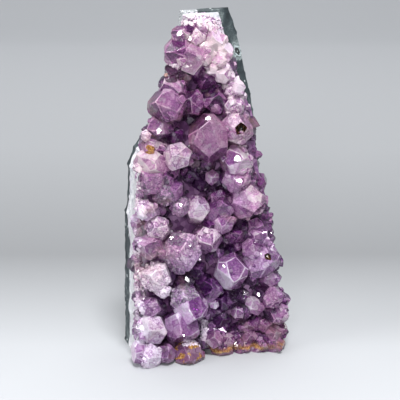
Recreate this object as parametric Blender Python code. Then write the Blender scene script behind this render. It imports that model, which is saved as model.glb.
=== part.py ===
"""Amethyst cluster: a sawn wedge of geode wall that stands on its cut base.

The wall grew in three layers, from the outside in: a rind of dark basalt, a band of
white quartz, and a crust of amethyst crystals. Saws cut the wall's base, top and sides
flat, so each layer shows in section there. Run with
    blender --background --python part.py

Frame: millimetres in the constants below and metres in the scene. +Z is up, the crystals
face -Y, and the scene's origin is at the middle of the base.
"""

import math
import random

import bmesh
import bpy
from mathutils import Matrix, Vector, noise
from mathutils.bvhtree import BVHTree

MM = 0.001

# The wall, and how thick each layer is at the base. The wall thins towards the top.
HEIGHT = 170.0
LEFT, RIGHT = -36.0, 42.0
BACK = 22.0
BACK_LEAN = 0.06
BACK_CURVE = 6.0
RIND = 9.0
BAND = 7.5
BED = 15.0
THINNING = 0.35
JOIN_GAP = 0.3

# The middle of the cluster's box, which the scene's origin is moved to.
MIDDLE_X, MIDDLE_Y = 1.6, -4.42

# Relief of the rough outer skin and of the surfaces where two layers meet.
SKIN_RELIEF = 2.4
SKIN_GRAIN = 17.0
JOIN_RELIEF = 1.0
JOIN_GRAIN = 22.0
BED_RELIEF = 3.0
GRID_STEP = 12.5
AHEAD = 90.0

# The side view of the crystal tips, ahead of the wall's back.
TIP_PLANE = -21.0
TOP_SETBACK = 6.0
RECESS_DEPTH = 5.0
RECESS_CENTRE = (17.0, 8.0)
RECESS_SIZE = (16.0, 30.0)

# Saw cuts. The outlines are the wall's face in x and z, and the crust's bed on it, which
# stops short of the wall's right edge.
OUTLINE = (
    (LEFT, 0.0),
    (LEFT, 70.0),
    (-34.5, 78.0),
    (-34.5, 94.0),
    (-31.0, 103.0),
    (-24.0, 113.0),
    (-19.5, 118.0),
    (-16.5, 123.0),
    (-12.5, 141.0),
    (-8.5, 160.0),
    (-7.0, HEIGHT + 8.0),
    (18.6, HEIGHT + 8.0),
    (20.2, 168.0),
    (22.0, 158.0),
    (23.7, 149.0),
    (25.4, 138.0),
    (27.8, 128.0),
    (28.6, 120.0),
    (28.8, 104.0),
    (35.0, 66.0),
    (41.0, 20.0),
    (RIGHT, 0.0),
)
BED_OUTLINE = (
    (LEFT, 0.0),
    (LEFT, 70.0),
    (-34.5, 78.0),
    (-34.5, 93.0),
    (-30.0, 101.5),
    (-22.5, 111.0),
    (-17.0, 117.0),
    (-14.5, 123.0),
    (-10.0, 141.0),
    (-7.0, 160.0),
    (-5.5, HEIGHT + 8.0),
    (5.0, HEIGHT + 8.0),
    (8.0, 160.0),
    (14.0, 146.0),
    (19.0, 134.0),
    (25.0, 118.0),
    (26.0, 100.0),
    (28.5, 88.0),
    (33.5, 66.0),
    (39.5, 20.0),
    (41.0, 0.0),
)
TOP_CUT = (Vector((0.0, 12.0, HEIGHT)), Vector((-0.03, -0.06, 1.0)))
CORNER_CUT = (Vector((12.0, 5.2, 165.0)), Vector((0.60, -0.76, 0.24)))
CRUST_CORNER_CUT = (Vector((11.0, -1.0, 165.0)), Vector((0.62, -0.54, 0.56)))
LEFT_CUT = (Vector((LEFT - 4.0, 0.0, 0.0)), Vector((-1.0, 0.0, 0.0)))
BASE_CUT = (Vector((0.0, 0.0, 0.0)), Vector((0.0, 0.0, -1.0)))

# The display side: the crystals are laid out as an eye there sees them, across and up
# from the middle of the view.
EYE_TURN = math.radians(-15.0)
EYE_RISE = math.radians(15.0)
EYE_DISTANCE = 750.0
VIEW_MIDDLE = Vector((0.0, 0.0, 76.0))

# Quartz: the angle between a rhombohedral tip face and the base plane.
TIP_SLOPE = math.radians(51.8)

# The large crystals: across, up, half width, lean to the right and lean upward in
# degrees, and how far the crystal stands ahead of the plane of the tips. A seventh number
# is the crystal's turn about its own axis in degrees: 0 puts a broad tip face below.
CRYSTALS = (
    # the narrow top
    (-6.5, 88, 4.0, -10, 35, 0),
    (0.5, 89, 4.2, 5, 30, -1),
    (7, 87.5, 4.0, 10, 25, -3),
    (-12.5, 84, 4.5, -40, 20, -1),
    (-2, 84, 5.0, 0, 30, 0),
    (7.5, 83, 6.0, 10, 25, -2),
    (14, 75, 6.0, 30, 5, -3),
    (-16, 74.5, 7.5, -40, -5, 0),
    (-5, 74, 8.0, -10, -20, 2),
    (4, 76, 5.5, 10, 15, 1),
    (10, 69, 7.0, 15, 0, 1),
    (12.5, 63, 5.0, 15, -15, 3),
    (-13.5, 63, 6.5, -25, -10, -4),
    (3.5, 61, 6.5, 5, 0, -5),
    (-3.5, 66, 3.0, -10, 20, -1),
    # the shoulders
    (19, 56, 5.5, 30, 10, 1),
    (19, 48, 6.0, 25, 0, 2),
    (20.3, 36, 9.2, 20, 0, 4),
    (8.5, 52, 8.0, 10, 10, -2),
    (-4.5, 50, 7.0, -10, 10, -1),
    (-19.5, 48, 10.0, -25, 5, 1),
    (-16.5, 57.5, 7.0, -25, 15, -1),
    (-27, 30, 4.5, -40, 20, -3),
    (-24.5, 36, 5.5, -35, -5, -1),
    (4, 36, 11.5, 0, 40, 5, 0),
    (-13, 33, 4.5, -10, 10, -4),
    (-12.5, 22, 7.5, -10, 0, 3),
    (-29.5, 21, 7.5, -40, 25, -1),
    # the middle
    (-26, 11, 8.0, -20, 10, 1),
    (-17.5, 12, 5.5, 10, 15, 0),
    (20.5, 20, 8.5, 20, 5, 3),
    (19, 9, 7.5, 10, -20, 2),
    (-5, 14, 4.5, 0, 15, -7),
    (1.5, 8, 4.5, 20, -10, -7),
    (7, 11, 4.5, -20, 5, -6),
    (-18.5, 3, 7.0, -10, -10, 1),
    (-12.5, 5, 5.5, 15, 0, 1),
    (-28.5, -5, 5.5, -20, 0, 1),
    (-10, -4, 5.0, 0, -10, 1),
    (-1, -3, 6.5, 5, 15, 1),
    (10.5, -3, 8.5, 10, 15, -1),
    (25.3, -4, 10.0, 20, -30, 3, 170),
    (27, 5, 5.0, 40, 10, -1),
    (-22, -14, 6.5, -10, 5, 2),
    (-26.5, -23, 7.5, -20, 0, 1),
    (-9.5, -26, 11.0, 0, 0, 4),
    (5, -21, 7.5, 10, -20, 2),
    (11, -12, 6.5, 0, -10, 1),
    (19.5, -17, 5.0, 15, 0, -4),
    (15.5, -25, 4.5, 0, 15, -8),
    (33.5, -30.5, 10.5, 25, -5, 3),
    (26.5, -23, 6.0, 0, 20, 2),
    (31.5, -17, 6.0, 35, 20, 0),
    (16, -39, 9.0, 5, -32, 4, 180),
    # the foot
    (-24, -38, 8.0, -15, 5, 2),
    (-17.5, -46, 4.0, 20, -10, 3),
    (-15, -38, 5.0, 10, 0, -6),
    (-8, -51, 8.0, 0, 10, 3),
    (-4, -59, 8.5, 15, -15, 3),
    (-9, -68, 9.5, 5, -20, 3),
    (-24.5, -65, 8.5, -5, 0, 4),
    (-27, -53, 6.0, -20, 10, 0),
    (-33, -77, 5.5, -25, -5, 5),
    (-25.5, -79, 6.5, 0, -5, 7),
    (-16.5, -78, 5.5, 10, -10, 6),
    (-5.5, -79, 8.0, 5, -15, 6),
    (6, -44, 6.0, 5, 5, -1),
    (11, -50, 6.0, 0, 10, -3),
    (38.5, -48, 7.0, 30, 5, 1),
    (42, -57, 6.5, 40, 0, -1),
    (19, -56, 5.0, -10, 10, -3),
    (28, -52, 5.5, 0, 15, -1),
    (11, -60, 6.0, 10, 10, -3),
    (21.5, -74, 7.0, 5, 0, 2.5),
    (31, -73, 6.5, 10, 5, 2.5),
    (37.5, -73, 7.0, 20, -5, 2),
    (11, -75, 6.5, 5, -5, 2),
    # the right edge, leaning out over the wall
    (23, 42, 4.5, 50, 20, -4),
    (22, 27, 4.5, 50, 5, -4),
    (22.5, 15, 5.0, 50, 0, -3),
    (26, 9, 4.5, 45, 10, -3),
    (30.5, -3, 5.0, 45, 0, -3),
    (32, -13, 5.5, 45, 5, -3),
    (35.5, -23, 5.0, 50, 10, -4),
    (38, -39, 5.5, 45, 0, -2),
    (41.5, -49, 5.0, 50, 10, -4),
    (41.5, -65, 5.0, 45, 0, -3),
)

# Pits that other minerals left in two of the crystals: across, up, radius, depth, sides.
PITS = (
    (20.3, 35.5, 3.0, 5.0, 3),
    (34.0, -28.0, 1.7, 3.0, 5),
)

# Small crystals that grow from the bed between the large ones.
FILL_STEP = 8.6
FILL_JITTER = 2.4
FILL_SIZES = (3.6, 5.4)
FILL_LEAN = math.radians(24.0)
FILL_STAND = 2.5
FILL_SEED = 11

COLOURS = {
    "basalt_rind": ((0.055, 0.07, 0.068), 0.62),
    "quartz_band": ((0.80, 0.78, 0.82), 0.45),
    "amethyst_crystals": ((0.36, 0.19, 0.46), 0.12),
}


def clear_scene():
    for obj in list(bpy.data.objects):
        bpy.data.objects.remove(obj)


def new_collection(name):
    collection = bpy.data.collections.new(name)
    bpy.context.scene.collection.children.link(collection)
    return collection


def add_object(name, bm, collection, helper=False):
    """Makes an object of a bmesh whose points are in millimetres, moved to the origin."""
    bmesh.ops.translate(bm, verts=bm.verts, vec=(-MIDDLE_X, -MIDDLE_Y, 0.0))
    bmesh.ops.scale(bm, vec=Vector((MM, MM, MM)), verts=bm.verts)
    bmesh.ops.recalc_face_normals(bm, faces=bm.faces)
    mesh = bpy.data.meshes.new(name)
    bm.to_mesh(mesh)
    bm.free()
    obj = bpy.data.objects.new(name, mesh)
    collection.objects.link(obj)
    if helper:
        obj.hide_render = True
        obj.display_type = "WIRE"
    return obj


def make_material(name):
    colour, roughness = COLOURS[name]
    material = bpy.data.materials.new(name)
    material.use_nodes = True
    shader = material.node_tree.nodes["Principled BSDF"]
    shader.inputs["Base Color"].default_value = (*colour, 1.0)
    shader.inputs["Roughness"].default_value = roughness
    shader.inputs["Metallic"].default_value = 0.0
    return material


# ---- the wall's surfaces, each as y at a place (x, z) on the face ----


def relief(x, z, grain, seed):
    return noise.noise(Vector((x / grain, z / grain, seed)))


def thinning(z):
    return 1.0 - THINNING * z / HEIGHT


def skin(x, z):
    """The smooth back of the wall, convex and leaning in towards the top."""
    return BACK - BACK_LEAN * z - BACK_CURVE * (x / RIGHT) ** 2


def rough_skin(x, z):
    broad = relief(x, z, SKIN_GRAIN, 3.1)
    fine = relief(x, z, SKIN_GRAIN * 0.4, 7.7)
    return skin(x, z) + SKIN_RELIEF * (broad + 0.45 * fine)


def rind_front(x, z):
    return skin(x, z) - RIND * thinning(z) + JOIN_RELIEF * relief(x, z, JOIN_GRAIN, 5.3)


def band_front(x, z):
    wave = JOIN_RELIEF * relief(x, z, JOIN_GRAIN, 9.9)
    return skin(x, z) - (RIND + BAND) * thinning(z) + wave


def bed_front(x, z):
    wave = BED_RELIEF * relief(x, z, JOIN_GRAIN, 2.2)
    return skin(x, z) - (RIND + BAND + BED) * thinning(z) + wave


def bump(offset, size):
    return math.exp(-((offset / size) ** 2))


def tip_front(x, z):
    """The surface near which the tips of the large crystals lie."""
    top = min(1.0, max(0.0, (z - 105.0) / (HEIGHT - 105.0)))
    recess = bump(x - RECESS_CENTRE[0], RECESS_SIZE[0]) * bump(z - RECESS_CENTRE[1], RECESS_SIZE[1])
    return TIP_PLANE + TOP_SETBACK * top + RECESS_DEPTH * recess


# ---- sawing ----


def saw(bm, cut):
    """Cuts away what lies on the normal's side of a plane, and closes the sawn face."""
    point, normal = cut
    everything = list(bm.verts) + list(bm.edges) + list(bm.faces)
    bmesh.ops.bisect_plane(bm, geom=everything, plane_co=point, plane_no=normal, clear_outer=True)
    rim = [edge for edge in bm.edges if edge.is_boundary]
    if rim:
        bmesh.ops.holes_fill(bm, edges=rim, sides=0)


def extruded_outline(outline, depth):
    """A flat outline in x and z, drawn out along y by depth each way."""
    bm = bmesh.new()
    face = bm.faces.new([bm.verts.new((x, -depth, z)) for x, z in outline])
    drawn = bmesh.ops.extrude_face_region(bm, geom=[face])
    moved = [part for part in drawn["geom"] if isinstance(part, bmesh.types.BMVert)]
    bmesh.ops.translate(bm, verts=moved, vec=(0.0, 2.0 * depth, 0.0))
    return bm


def sawn_wedge(name, outline, cuts, collection):
    """An outline drawn out along y and sawn by some cuts."""
    bm = extruded_outline(outline, AHEAD)
    for cut in cuts:
        saw(bm, cut)
    return add_object(name, bm, collection, helper=True)


def crust_envelope(collection):
    """The space ahead of the quartz band, with the sawn faces that also cut the crystals:
    left side, base, top and upper corner."""
    bm = layer(lambda x, z: -AHEAD, lambda x, z: band_front(x, z) - JOIN_GAP)
    for cut in (LEFT_CUT, BASE_CUT, TOP_CUT, CRUST_CORNER_CUT):
        saw(bm, cut)
    return add_object("crust_envelope", bm, collection, helper=True)


# ---- layers ----


def layer(front, back):
    """A slab between two surfaces, both given as y at a place (x, z). All layers share one
    pattern of triangles, so neighbours meet with an even gap."""
    half_x = RIGHT + 1.5 * GRID_STEP
    low, high = -1.5 * GRID_STEP, HEIGHT + 1.5 * GRID_STEP
    columns = round(2.0 * half_x / GRID_STEP)
    rows = round((high - low) / GRID_STEP)
    bm = bmesh.new()
    bmesh.ops.create_grid(bm, x_segments=columns, y_segments=rows, size=1.0)
    bmesh.ops.triangulate(bm, faces=bm.faces)
    drawn = bmesh.ops.extrude_face_region(bm, geom=list(bm.faces))
    front_points = [part for part in drawn["geom"] if isinstance(part, bmesh.types.BMVert)]
    back_points = [point for point in bm.verts if point not in set(front_points)]
    for points, surface in ((front_points, front), (back_points, back)):
        for point in points:
            x = point.co.x * half_x
            z = low + (point.co.y + 1.0) / 2.0 * (high - low)
            point.co = Vector((x, surface(x, z), z))
    return bm


def roughen_back(bm):
    """Splits the back faces once more and gives the new points the skin's rough relief."""
    back_faces = {face for face in bm.faces if face.normal.y > 0.5}
    edges = {edge for face in back_faces for edge in face.edges}
    bmesh.ops.subdivide_edges(bm, edges=list(edges), cuts=1, use_grid_fill=True)
    for point in bm.verts:
        if point.co.y > skin(point.co.x, point.co.z) - 0.3 * RIND:
            point.co.y = rough_skin(point.co.x, point.co.z)


def add_boolean(obj, operation, other):
    modifier = obj.modifiers.new(f"{operation.lower()}_{other.name}", "BOOLEAN")
    modifier.operation = operation
    modifier.solver = "EXACT"
    modifier.object = other
    return modifier


def islands(bm):
    """The faces of each connected surface."""
    left = set(bm.faces)
    found = []
    while left:
        island = set()
        reached = [left.pop()]
        while reached:
            face = reached.pop()
            island.add(face)
            near = {other for edge in face.edges for other in edge.link_faces}
            reached.extend(near & left)
            left -= near
        found.append(island)
    return found


def apply_and_fill_pockets(obj):
    """Applies the Booleans, and drops the closed pockets left between crystals."""
    graph = bpy.context.evaluated_depsgraph_get()
    applied = bpy.data.meshes.new_from_object(obj.evaluated_get(graph), depsgraph=graph)
    bm = bmesh.new()
    bm.from_mesh(applied)
    outer = max(islands(bm), key=lambda island: sum(face.calc_area() for face in island))
    bmesh.ops.delete(bm, geom=[face for face in bm.faces if face not in outer], context="FACES")
    bm.to_mesh(applied)
    bm.free()
    obj.modifiers.clear()
    obj.data = applied


# ---- crystals ----


def eye_frame():
    """Right, up and toward as the eye on the display side has them, and the eye's place."""
    toward = Vector(
        (
            math.sin(EYE_TURN) * math.cos(EYE_RISE),
            -math.cos(EYE_TURN) * math.cos(EYE_RISE),
            math.sin(EYE_RISE),
        )
    )
    right = Vector((math.cos(EYE_TURN), math.sin(EYE_TURN), 0.0))
    up = toward.cross(right)
    return right, up, toward, VIEW_MIDDLE + toward * EYE_DISTANCE


def place_on_tips(across, up_by, stand):
    """Where the line of sight through (across, up) meets the plane of the tips."""
    right, up, _, eye = eye_frame()
    aim = (VIEW_MIDDLE + right * across + up * up_by - eye).normalized()
    place = VIEW_MIDDLE + right * across + up * up_by
    for _ in range(12):
        miss = tip_front(place.x, place.z) - stand - place.y
        place = place + aim * (miss / aim.y)
    return place


def leaning_axis(lean_right, lean_up):
    right, up, toward, _ = eye_frame()
    flat = toward + right * math.tan(math.radians(lean_right)) + up * math.tan(math.radians(lean_up))
    return flat.normalized()


def crystal_mesh(half_width, length, rng):
    """A six-sided quartz crystal along +Z with its tip at the origin: three broad tip faces
    and three narrow ones, and a root that tapers a little."""
    bm = bmesh.new()
    outer = half_width / math.cos(math.pi / 6.0)
    bmesh.ops.create_cone(
        bm, cap_ends=True, segments=6, radius1=outer * 0.82, radius2=outer, depth=length
    )
    bmesh.ops.translate(bm, verts=bm.verts, vec=(0.0, 0.0, -length / 2.0 + half_width))
    flatness = rng.uniform(0.84, 1.0)
    squeeze = Matrix.Rotation(rng.uniform(0.0, math.pi), 3, "Z")
    for point in bm.verts:
        turned = squeeze @ point.co
        turned.x *= flatness
        point.co = squeeze.inverted() @ turned
    for side in range(6):
        angle = math.pi / 6.0 + side * math.pi / 3.0
        if side % 2:
            height = half_width * rng.uniform(0.16, 0.5)
        else:
            height = half_width * rng.uniform(-0.1, 0.1)
        normal = Vector(
            (
                math.cos(angle) * math.sin(TIP_SLOPE),
                math.sin(angle) * math.sin(TIP_SLOPE),
                math.cos(TIP_SLOPE),
            )
        )
        saw(bm, (Vector((0.0, 0.0, height)), normal))
    return bm


def turned_to(axis, spin, tip):
    """Carries a crystal's own frame to its place on the wall."""
    turn = axis.to_track_quat("Z", "Y").to_matrix().to_4x4()
    return Matrix.Translation(tip) @ turn @ Matrix.Rotation(spin, 4, "Z")


def add_crystal(target, half_width, length, axis, spin, tip, rng):
    crystal = crystal_mesh(half_width, length, rng)
    bmesh.ops.transform(crystal, matrix=turned_to(axis, spin, tip), verts=crystal.verts)
    mesh = bpy.data.meshes.new("crystal")
    crystal.to_mesh(mesh)
    crystal.free()
    target.from_mesh(mesh)
    bpy.data.meshes.remove(mesh)


def root_length(tip, axis):
    """From the tip back along the crystal until its root is well inside the bed."""
    length = 4.0
    while length < 34.0:
        end = tip - axis * length
        if end.y > bed_front(end.x, end.z) + 0.45 * BED * thinning(end.z):
            break
        length += 0.5
    return length


def large_crystals(target, rng):
    for across, up_by, half_width, lean_right, lean_up, stand, *turn in CRYSTALS:
        axis = leaning_axis(lean_right, lean_up)
        middle = place_on_tips(across, up_by, stand)
        tip = middle + axis * half_width * 0.55
        length = root_length(tip, axis)
        spin = rng.uniform(0.0, 2.0 * math.pi)
        if turn:
            spin = math.radians(turn[0])
        add_crystal(target, half_width, length, axis, spin, tip, rng)


def inside_bed(x, z, margin):
    """True if a place on the face is inside the bed's outline by a margin."""
    for (x0, z0), (x1, z1) in zip(BED_OUTLINE, BED_OUTLINE[1:] + BED_OUTLINE[:1]):
        edge = Vector((x1 - x0, z1 - z0))
        if edge.length and edge.cross(Vector((x - x0, z - z0))) / edge.length > -margin:
            return False
    return True


def small_crystals(target, rng):
    """Fills the gaps: a jittered grid of small crystals on the bed, where no large crystal
    already covers the place."""
    covered = BVHTree.FromBMesh(target)
    rows = int(HEIGHT / FILL_STEP) + 1
    columns = int((RIGHT - LEFT) / FILL_STEP) + 1
    for row in range(rows):
        for column in range(columns):
            shift = 0.5 * FILL_STEP * (row % 2)
            x = LEFT + shift + column * FILL_STEP + rng.uniform(-FILL_JITTER, FILL_JITTER)
            z = 3.0 + row * FILL_STEP + rng.uniform(-FILL_JITTER, FILL_JITTER)
            half_width = rng.uniform(*FILL_SIZES)
            lean = Vector((rng.gauss(0.0, 1.0), 0.0, rng.gauss(0.0, 1.0))) * math.tan(FILL_LEAN) * 0.6
            spin = rng.uniform(0.0, 2.0 * math.pi)
            if not inside_bed(x, z, 1.0):
                continue
            axis = (Vector((0.0, -1.0, 0.0)) + lean).normalized()
            tip = Vector((x, bed_front(x, z) - FILL_STAND - half_width, z))
            _, _, _, distance = covered.ray_cast(tip + Vector((0.0, -80.0, 0.0)), Vector((0.0, 1.0, 0.0)))
            hidden_by = 0.0 if distance is None else 80.0 - distance
            if hidden_by > 4.0:
                continue
            add_crystal(target, half_width, root_length(tip, axis), axis, spin, tip, rng)


def pit_cones(growth):
    """Cones that narrow as they go into the crust, one for each pit."""
    right, up, _, eye = eye_frame()
    surface = BVHTree.FromBMesh(growth)
    bm = bmesh.new()
    for across, up_by, radius, depth, sides in PITS:
        aim = (VIEW_MIDDLE + right * across + up * up_by - eye).normalized()
        place, _, _, _ = surface.ray_cast(eye, aim)
        turn = (-aim).to_track_quat("Z", "Y").to_matrix().to_4x4()
        bmesh.ops.create_cone(
            bm,
            cap_ends=True,
            segments=sides,
            radius1=radius * 0.35,
            radius2=radius * 1.65,
            depth=2.0 * depth,
            matrix=Matrix.Translation(place) @ turn,
        )
    return bm


def build():
    clear_scene()
    cluster = new_collection("amethyst_cluster")
    cutters = new_collection("cutters")
    wall_cut = sawn_wedge("wall_envelope", OUTLINE, (TOP_CUT, CORNER_CUT), cutters)
    bed_cut = sawn_wedge("bed_envelope", BED_OUTLINE, (TOP_CUT, CRUST_CORNER_CUT), cutters)
    crust_cut = crust_envelope(cutters)

    rind = layer(rind_front, skin)
    rind.normal_update()
    bmesh.ops.recalc_face_normals(rind, faces=rind.faces)
    roughen_back(rind)
    band = layer(band_front, lambda x, z: rind_front(x, z) - JOIN_GAP)
    bed = layer(bed_front, lambda x, z: band_front(x, z) + BAND / 2.0)

    growth = bmesh.new()
    rng = random.Random(FILL_SEED)
    large_crystals(growth, rng)
    small_crystals(growth, rng)
    pits = add_object("pit_cones", pit_cones(growth), cutters, helper=True)
    crystals = add_object("crystal_growth", growth, cutters, helper=True)

    for name, bm in (("basalt_rind", rind), ("quartz_band", band), ("amethyst_crystals", bed)):
        obj = add_object(name, bm, cluster)
        obj.data.materials.append(make_material(name))
        if name != "amethyst_crystals":
            add_boolean(obj, "INTERSECT", wall_cut)
        else:
            add_boolean(obj, "INTERSECT", bed_cut)
            joined = add_boolean(obj, "UNION", crystals)
            joined.use_self = True
            add_boolean(obj, "DIFFERENCE", pits)
            add_boolean(obj, "INTERSECT", crust_cut)
            apply_and_fill_pockets(obj)


build()
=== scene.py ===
"""Amethyst cluster: a sawn wedge of geode wall, with its basalt rind, its quartz band and
its crust of crystals, on a pale floor.

Shapes are made in millimetres in the wall's own frame, which has the crystals at -Y, and
are carried to the model's frame, in metres, by to_object.
"""

import math
import random

import bmesh
import bpy
from mathutils import Matrix, Vector, noise
from mathutils.bvhtree import BVHTree


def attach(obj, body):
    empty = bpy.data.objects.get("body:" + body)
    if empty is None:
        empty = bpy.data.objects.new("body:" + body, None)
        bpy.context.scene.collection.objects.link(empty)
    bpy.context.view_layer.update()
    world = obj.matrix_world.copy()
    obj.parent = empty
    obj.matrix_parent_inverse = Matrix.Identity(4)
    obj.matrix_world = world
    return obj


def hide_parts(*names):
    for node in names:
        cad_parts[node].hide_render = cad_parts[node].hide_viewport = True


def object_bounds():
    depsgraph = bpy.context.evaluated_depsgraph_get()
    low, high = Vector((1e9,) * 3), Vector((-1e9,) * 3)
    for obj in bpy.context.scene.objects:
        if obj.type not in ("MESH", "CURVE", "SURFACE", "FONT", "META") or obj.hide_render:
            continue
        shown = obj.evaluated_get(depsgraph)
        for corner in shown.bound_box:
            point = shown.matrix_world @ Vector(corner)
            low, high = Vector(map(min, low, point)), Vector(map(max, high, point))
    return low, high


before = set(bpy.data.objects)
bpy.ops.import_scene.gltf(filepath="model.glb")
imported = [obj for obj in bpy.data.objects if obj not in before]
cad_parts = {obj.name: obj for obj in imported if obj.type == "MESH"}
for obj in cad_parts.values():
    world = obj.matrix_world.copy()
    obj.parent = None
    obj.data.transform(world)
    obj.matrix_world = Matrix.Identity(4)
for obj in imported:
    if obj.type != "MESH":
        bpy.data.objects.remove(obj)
cad_low, cad_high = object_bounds()

# ---- the wall, as the solids have it ----

HEIGHT = 170.0
LEFT, RIGHT = -36.0, 42.0
BACK = 22.0
BACK_LEAN = 0.06
BACK_CURVE = 6.0
RIND = 9.0
BAND = 7.5
BED = 15.0
THINNING = 0.35
MIDDLE = Vector((1.6, -4.42, 0.0))
AHEAD = 90.0
TIP_PLANE = -21.0
TOP_SETBACK = 6.0
RECESS_DEPTH = 5.0
RECESS_CENTRE = (17.0, 8.0)
RECESS_SIZE = (16.0, 30.0)
FINE_STEP = 1.6

OUTLINE = (
    (LEFT, 0.0),
    (LEFT, 70.0),
    (-34.5, 78.0),
    (-34.5, 94.0),
    (-31.0, 103.0),
    (-24.0, 113.0),
    (-19.5, 118.0),
    (-16.5, 123.0),
    (-12.5, 141.0),
    (-8.5, 160.0),
    (-7.0, HEIGHT + 8.0),
    (18.6, HEIGHT + 8.0),
    (20.2, 168.0),
    (22.0, 158.0),
    (23.7, 149.0),
    (25.4, 138.0),
    (27.8, 128.0),
    (28.6, 120.0),
    (28.8, 104.0),
    (35.0, 66.0),
    (41.0, 20.0),
    (RIGHT, 0.0),
)
BED_OUTLINE = (
    (LEFT, 0.0),
    (LEFT, 70.0),
    (-34.5, 78.0),
    (-34.5, 93.0),
    (-30.0, 101.5),
    (-22.5, 111.0),
    (-17.0, 117.0),
    (-14.5, 123.0),
    (-10.0, 141.0),
    (-7.0, 160.0),
    (-5.5, HEIGHT + 8.0),
    (5.0, HEIGHT + 8.0),
    (8.0, 160.0),
    (14.0, 146.0),
    (19.0, 134.0),
    (25.0, 118.0),
    (26.0, 100.0),
    (28.5, 88.0),
    (33.5, 66.0),
    (39.5, 20.0),
    (41.0, 0.0),
)
TOP_CUT = (Vector((0.0, 12.0, HEIGHT)), Vector((-0.03, -0.06, 1.0)))
CORNER_CUT = (Vector((12.0, 5.2, 165.0)), Vector((0.60, -0.76, 0.24)))
CRUST_CORNER_CUT = (Vector((11.0, -1.0, 165.0)), Vector((0.62, -0.54, 0.56)))
LEFT_CUT = (Vector((LEFT - 4.0, 0.0, 0.0)), Vector((-1.0, 0.0, 0.0)))
BASE_CUT = (Vector((0.0, 0.0, 0.0)), Vector((0.0, 0.0, -1.0)))

CRUST_CUTS = (LEFT_CUT, BASE_CUT, TOP_CUT, CRUST_CORNER_CUT)
BAND_TOP_CUT = (TOP_CUT[0] - Vector((0.0, 0.0, 0.9)), TOP_CUT[1])
BED_TOP_CUT = (TOP_CUT[0] - Vector((0.0, 0.0, 2.2)), TOP_CUT[1])

EYE_TURN = math.radians(-15.0)
EYE_RISE = math.radians(15.0)
EYE_DISTANCE = 750.0
VIEW_MIDDLE = Vector((0.0, 0.0, 76.0))
KEY_PLACE = (0.12, -0.6, 1.1)
TIP_SLOPE = math.radians(51.8)

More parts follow.
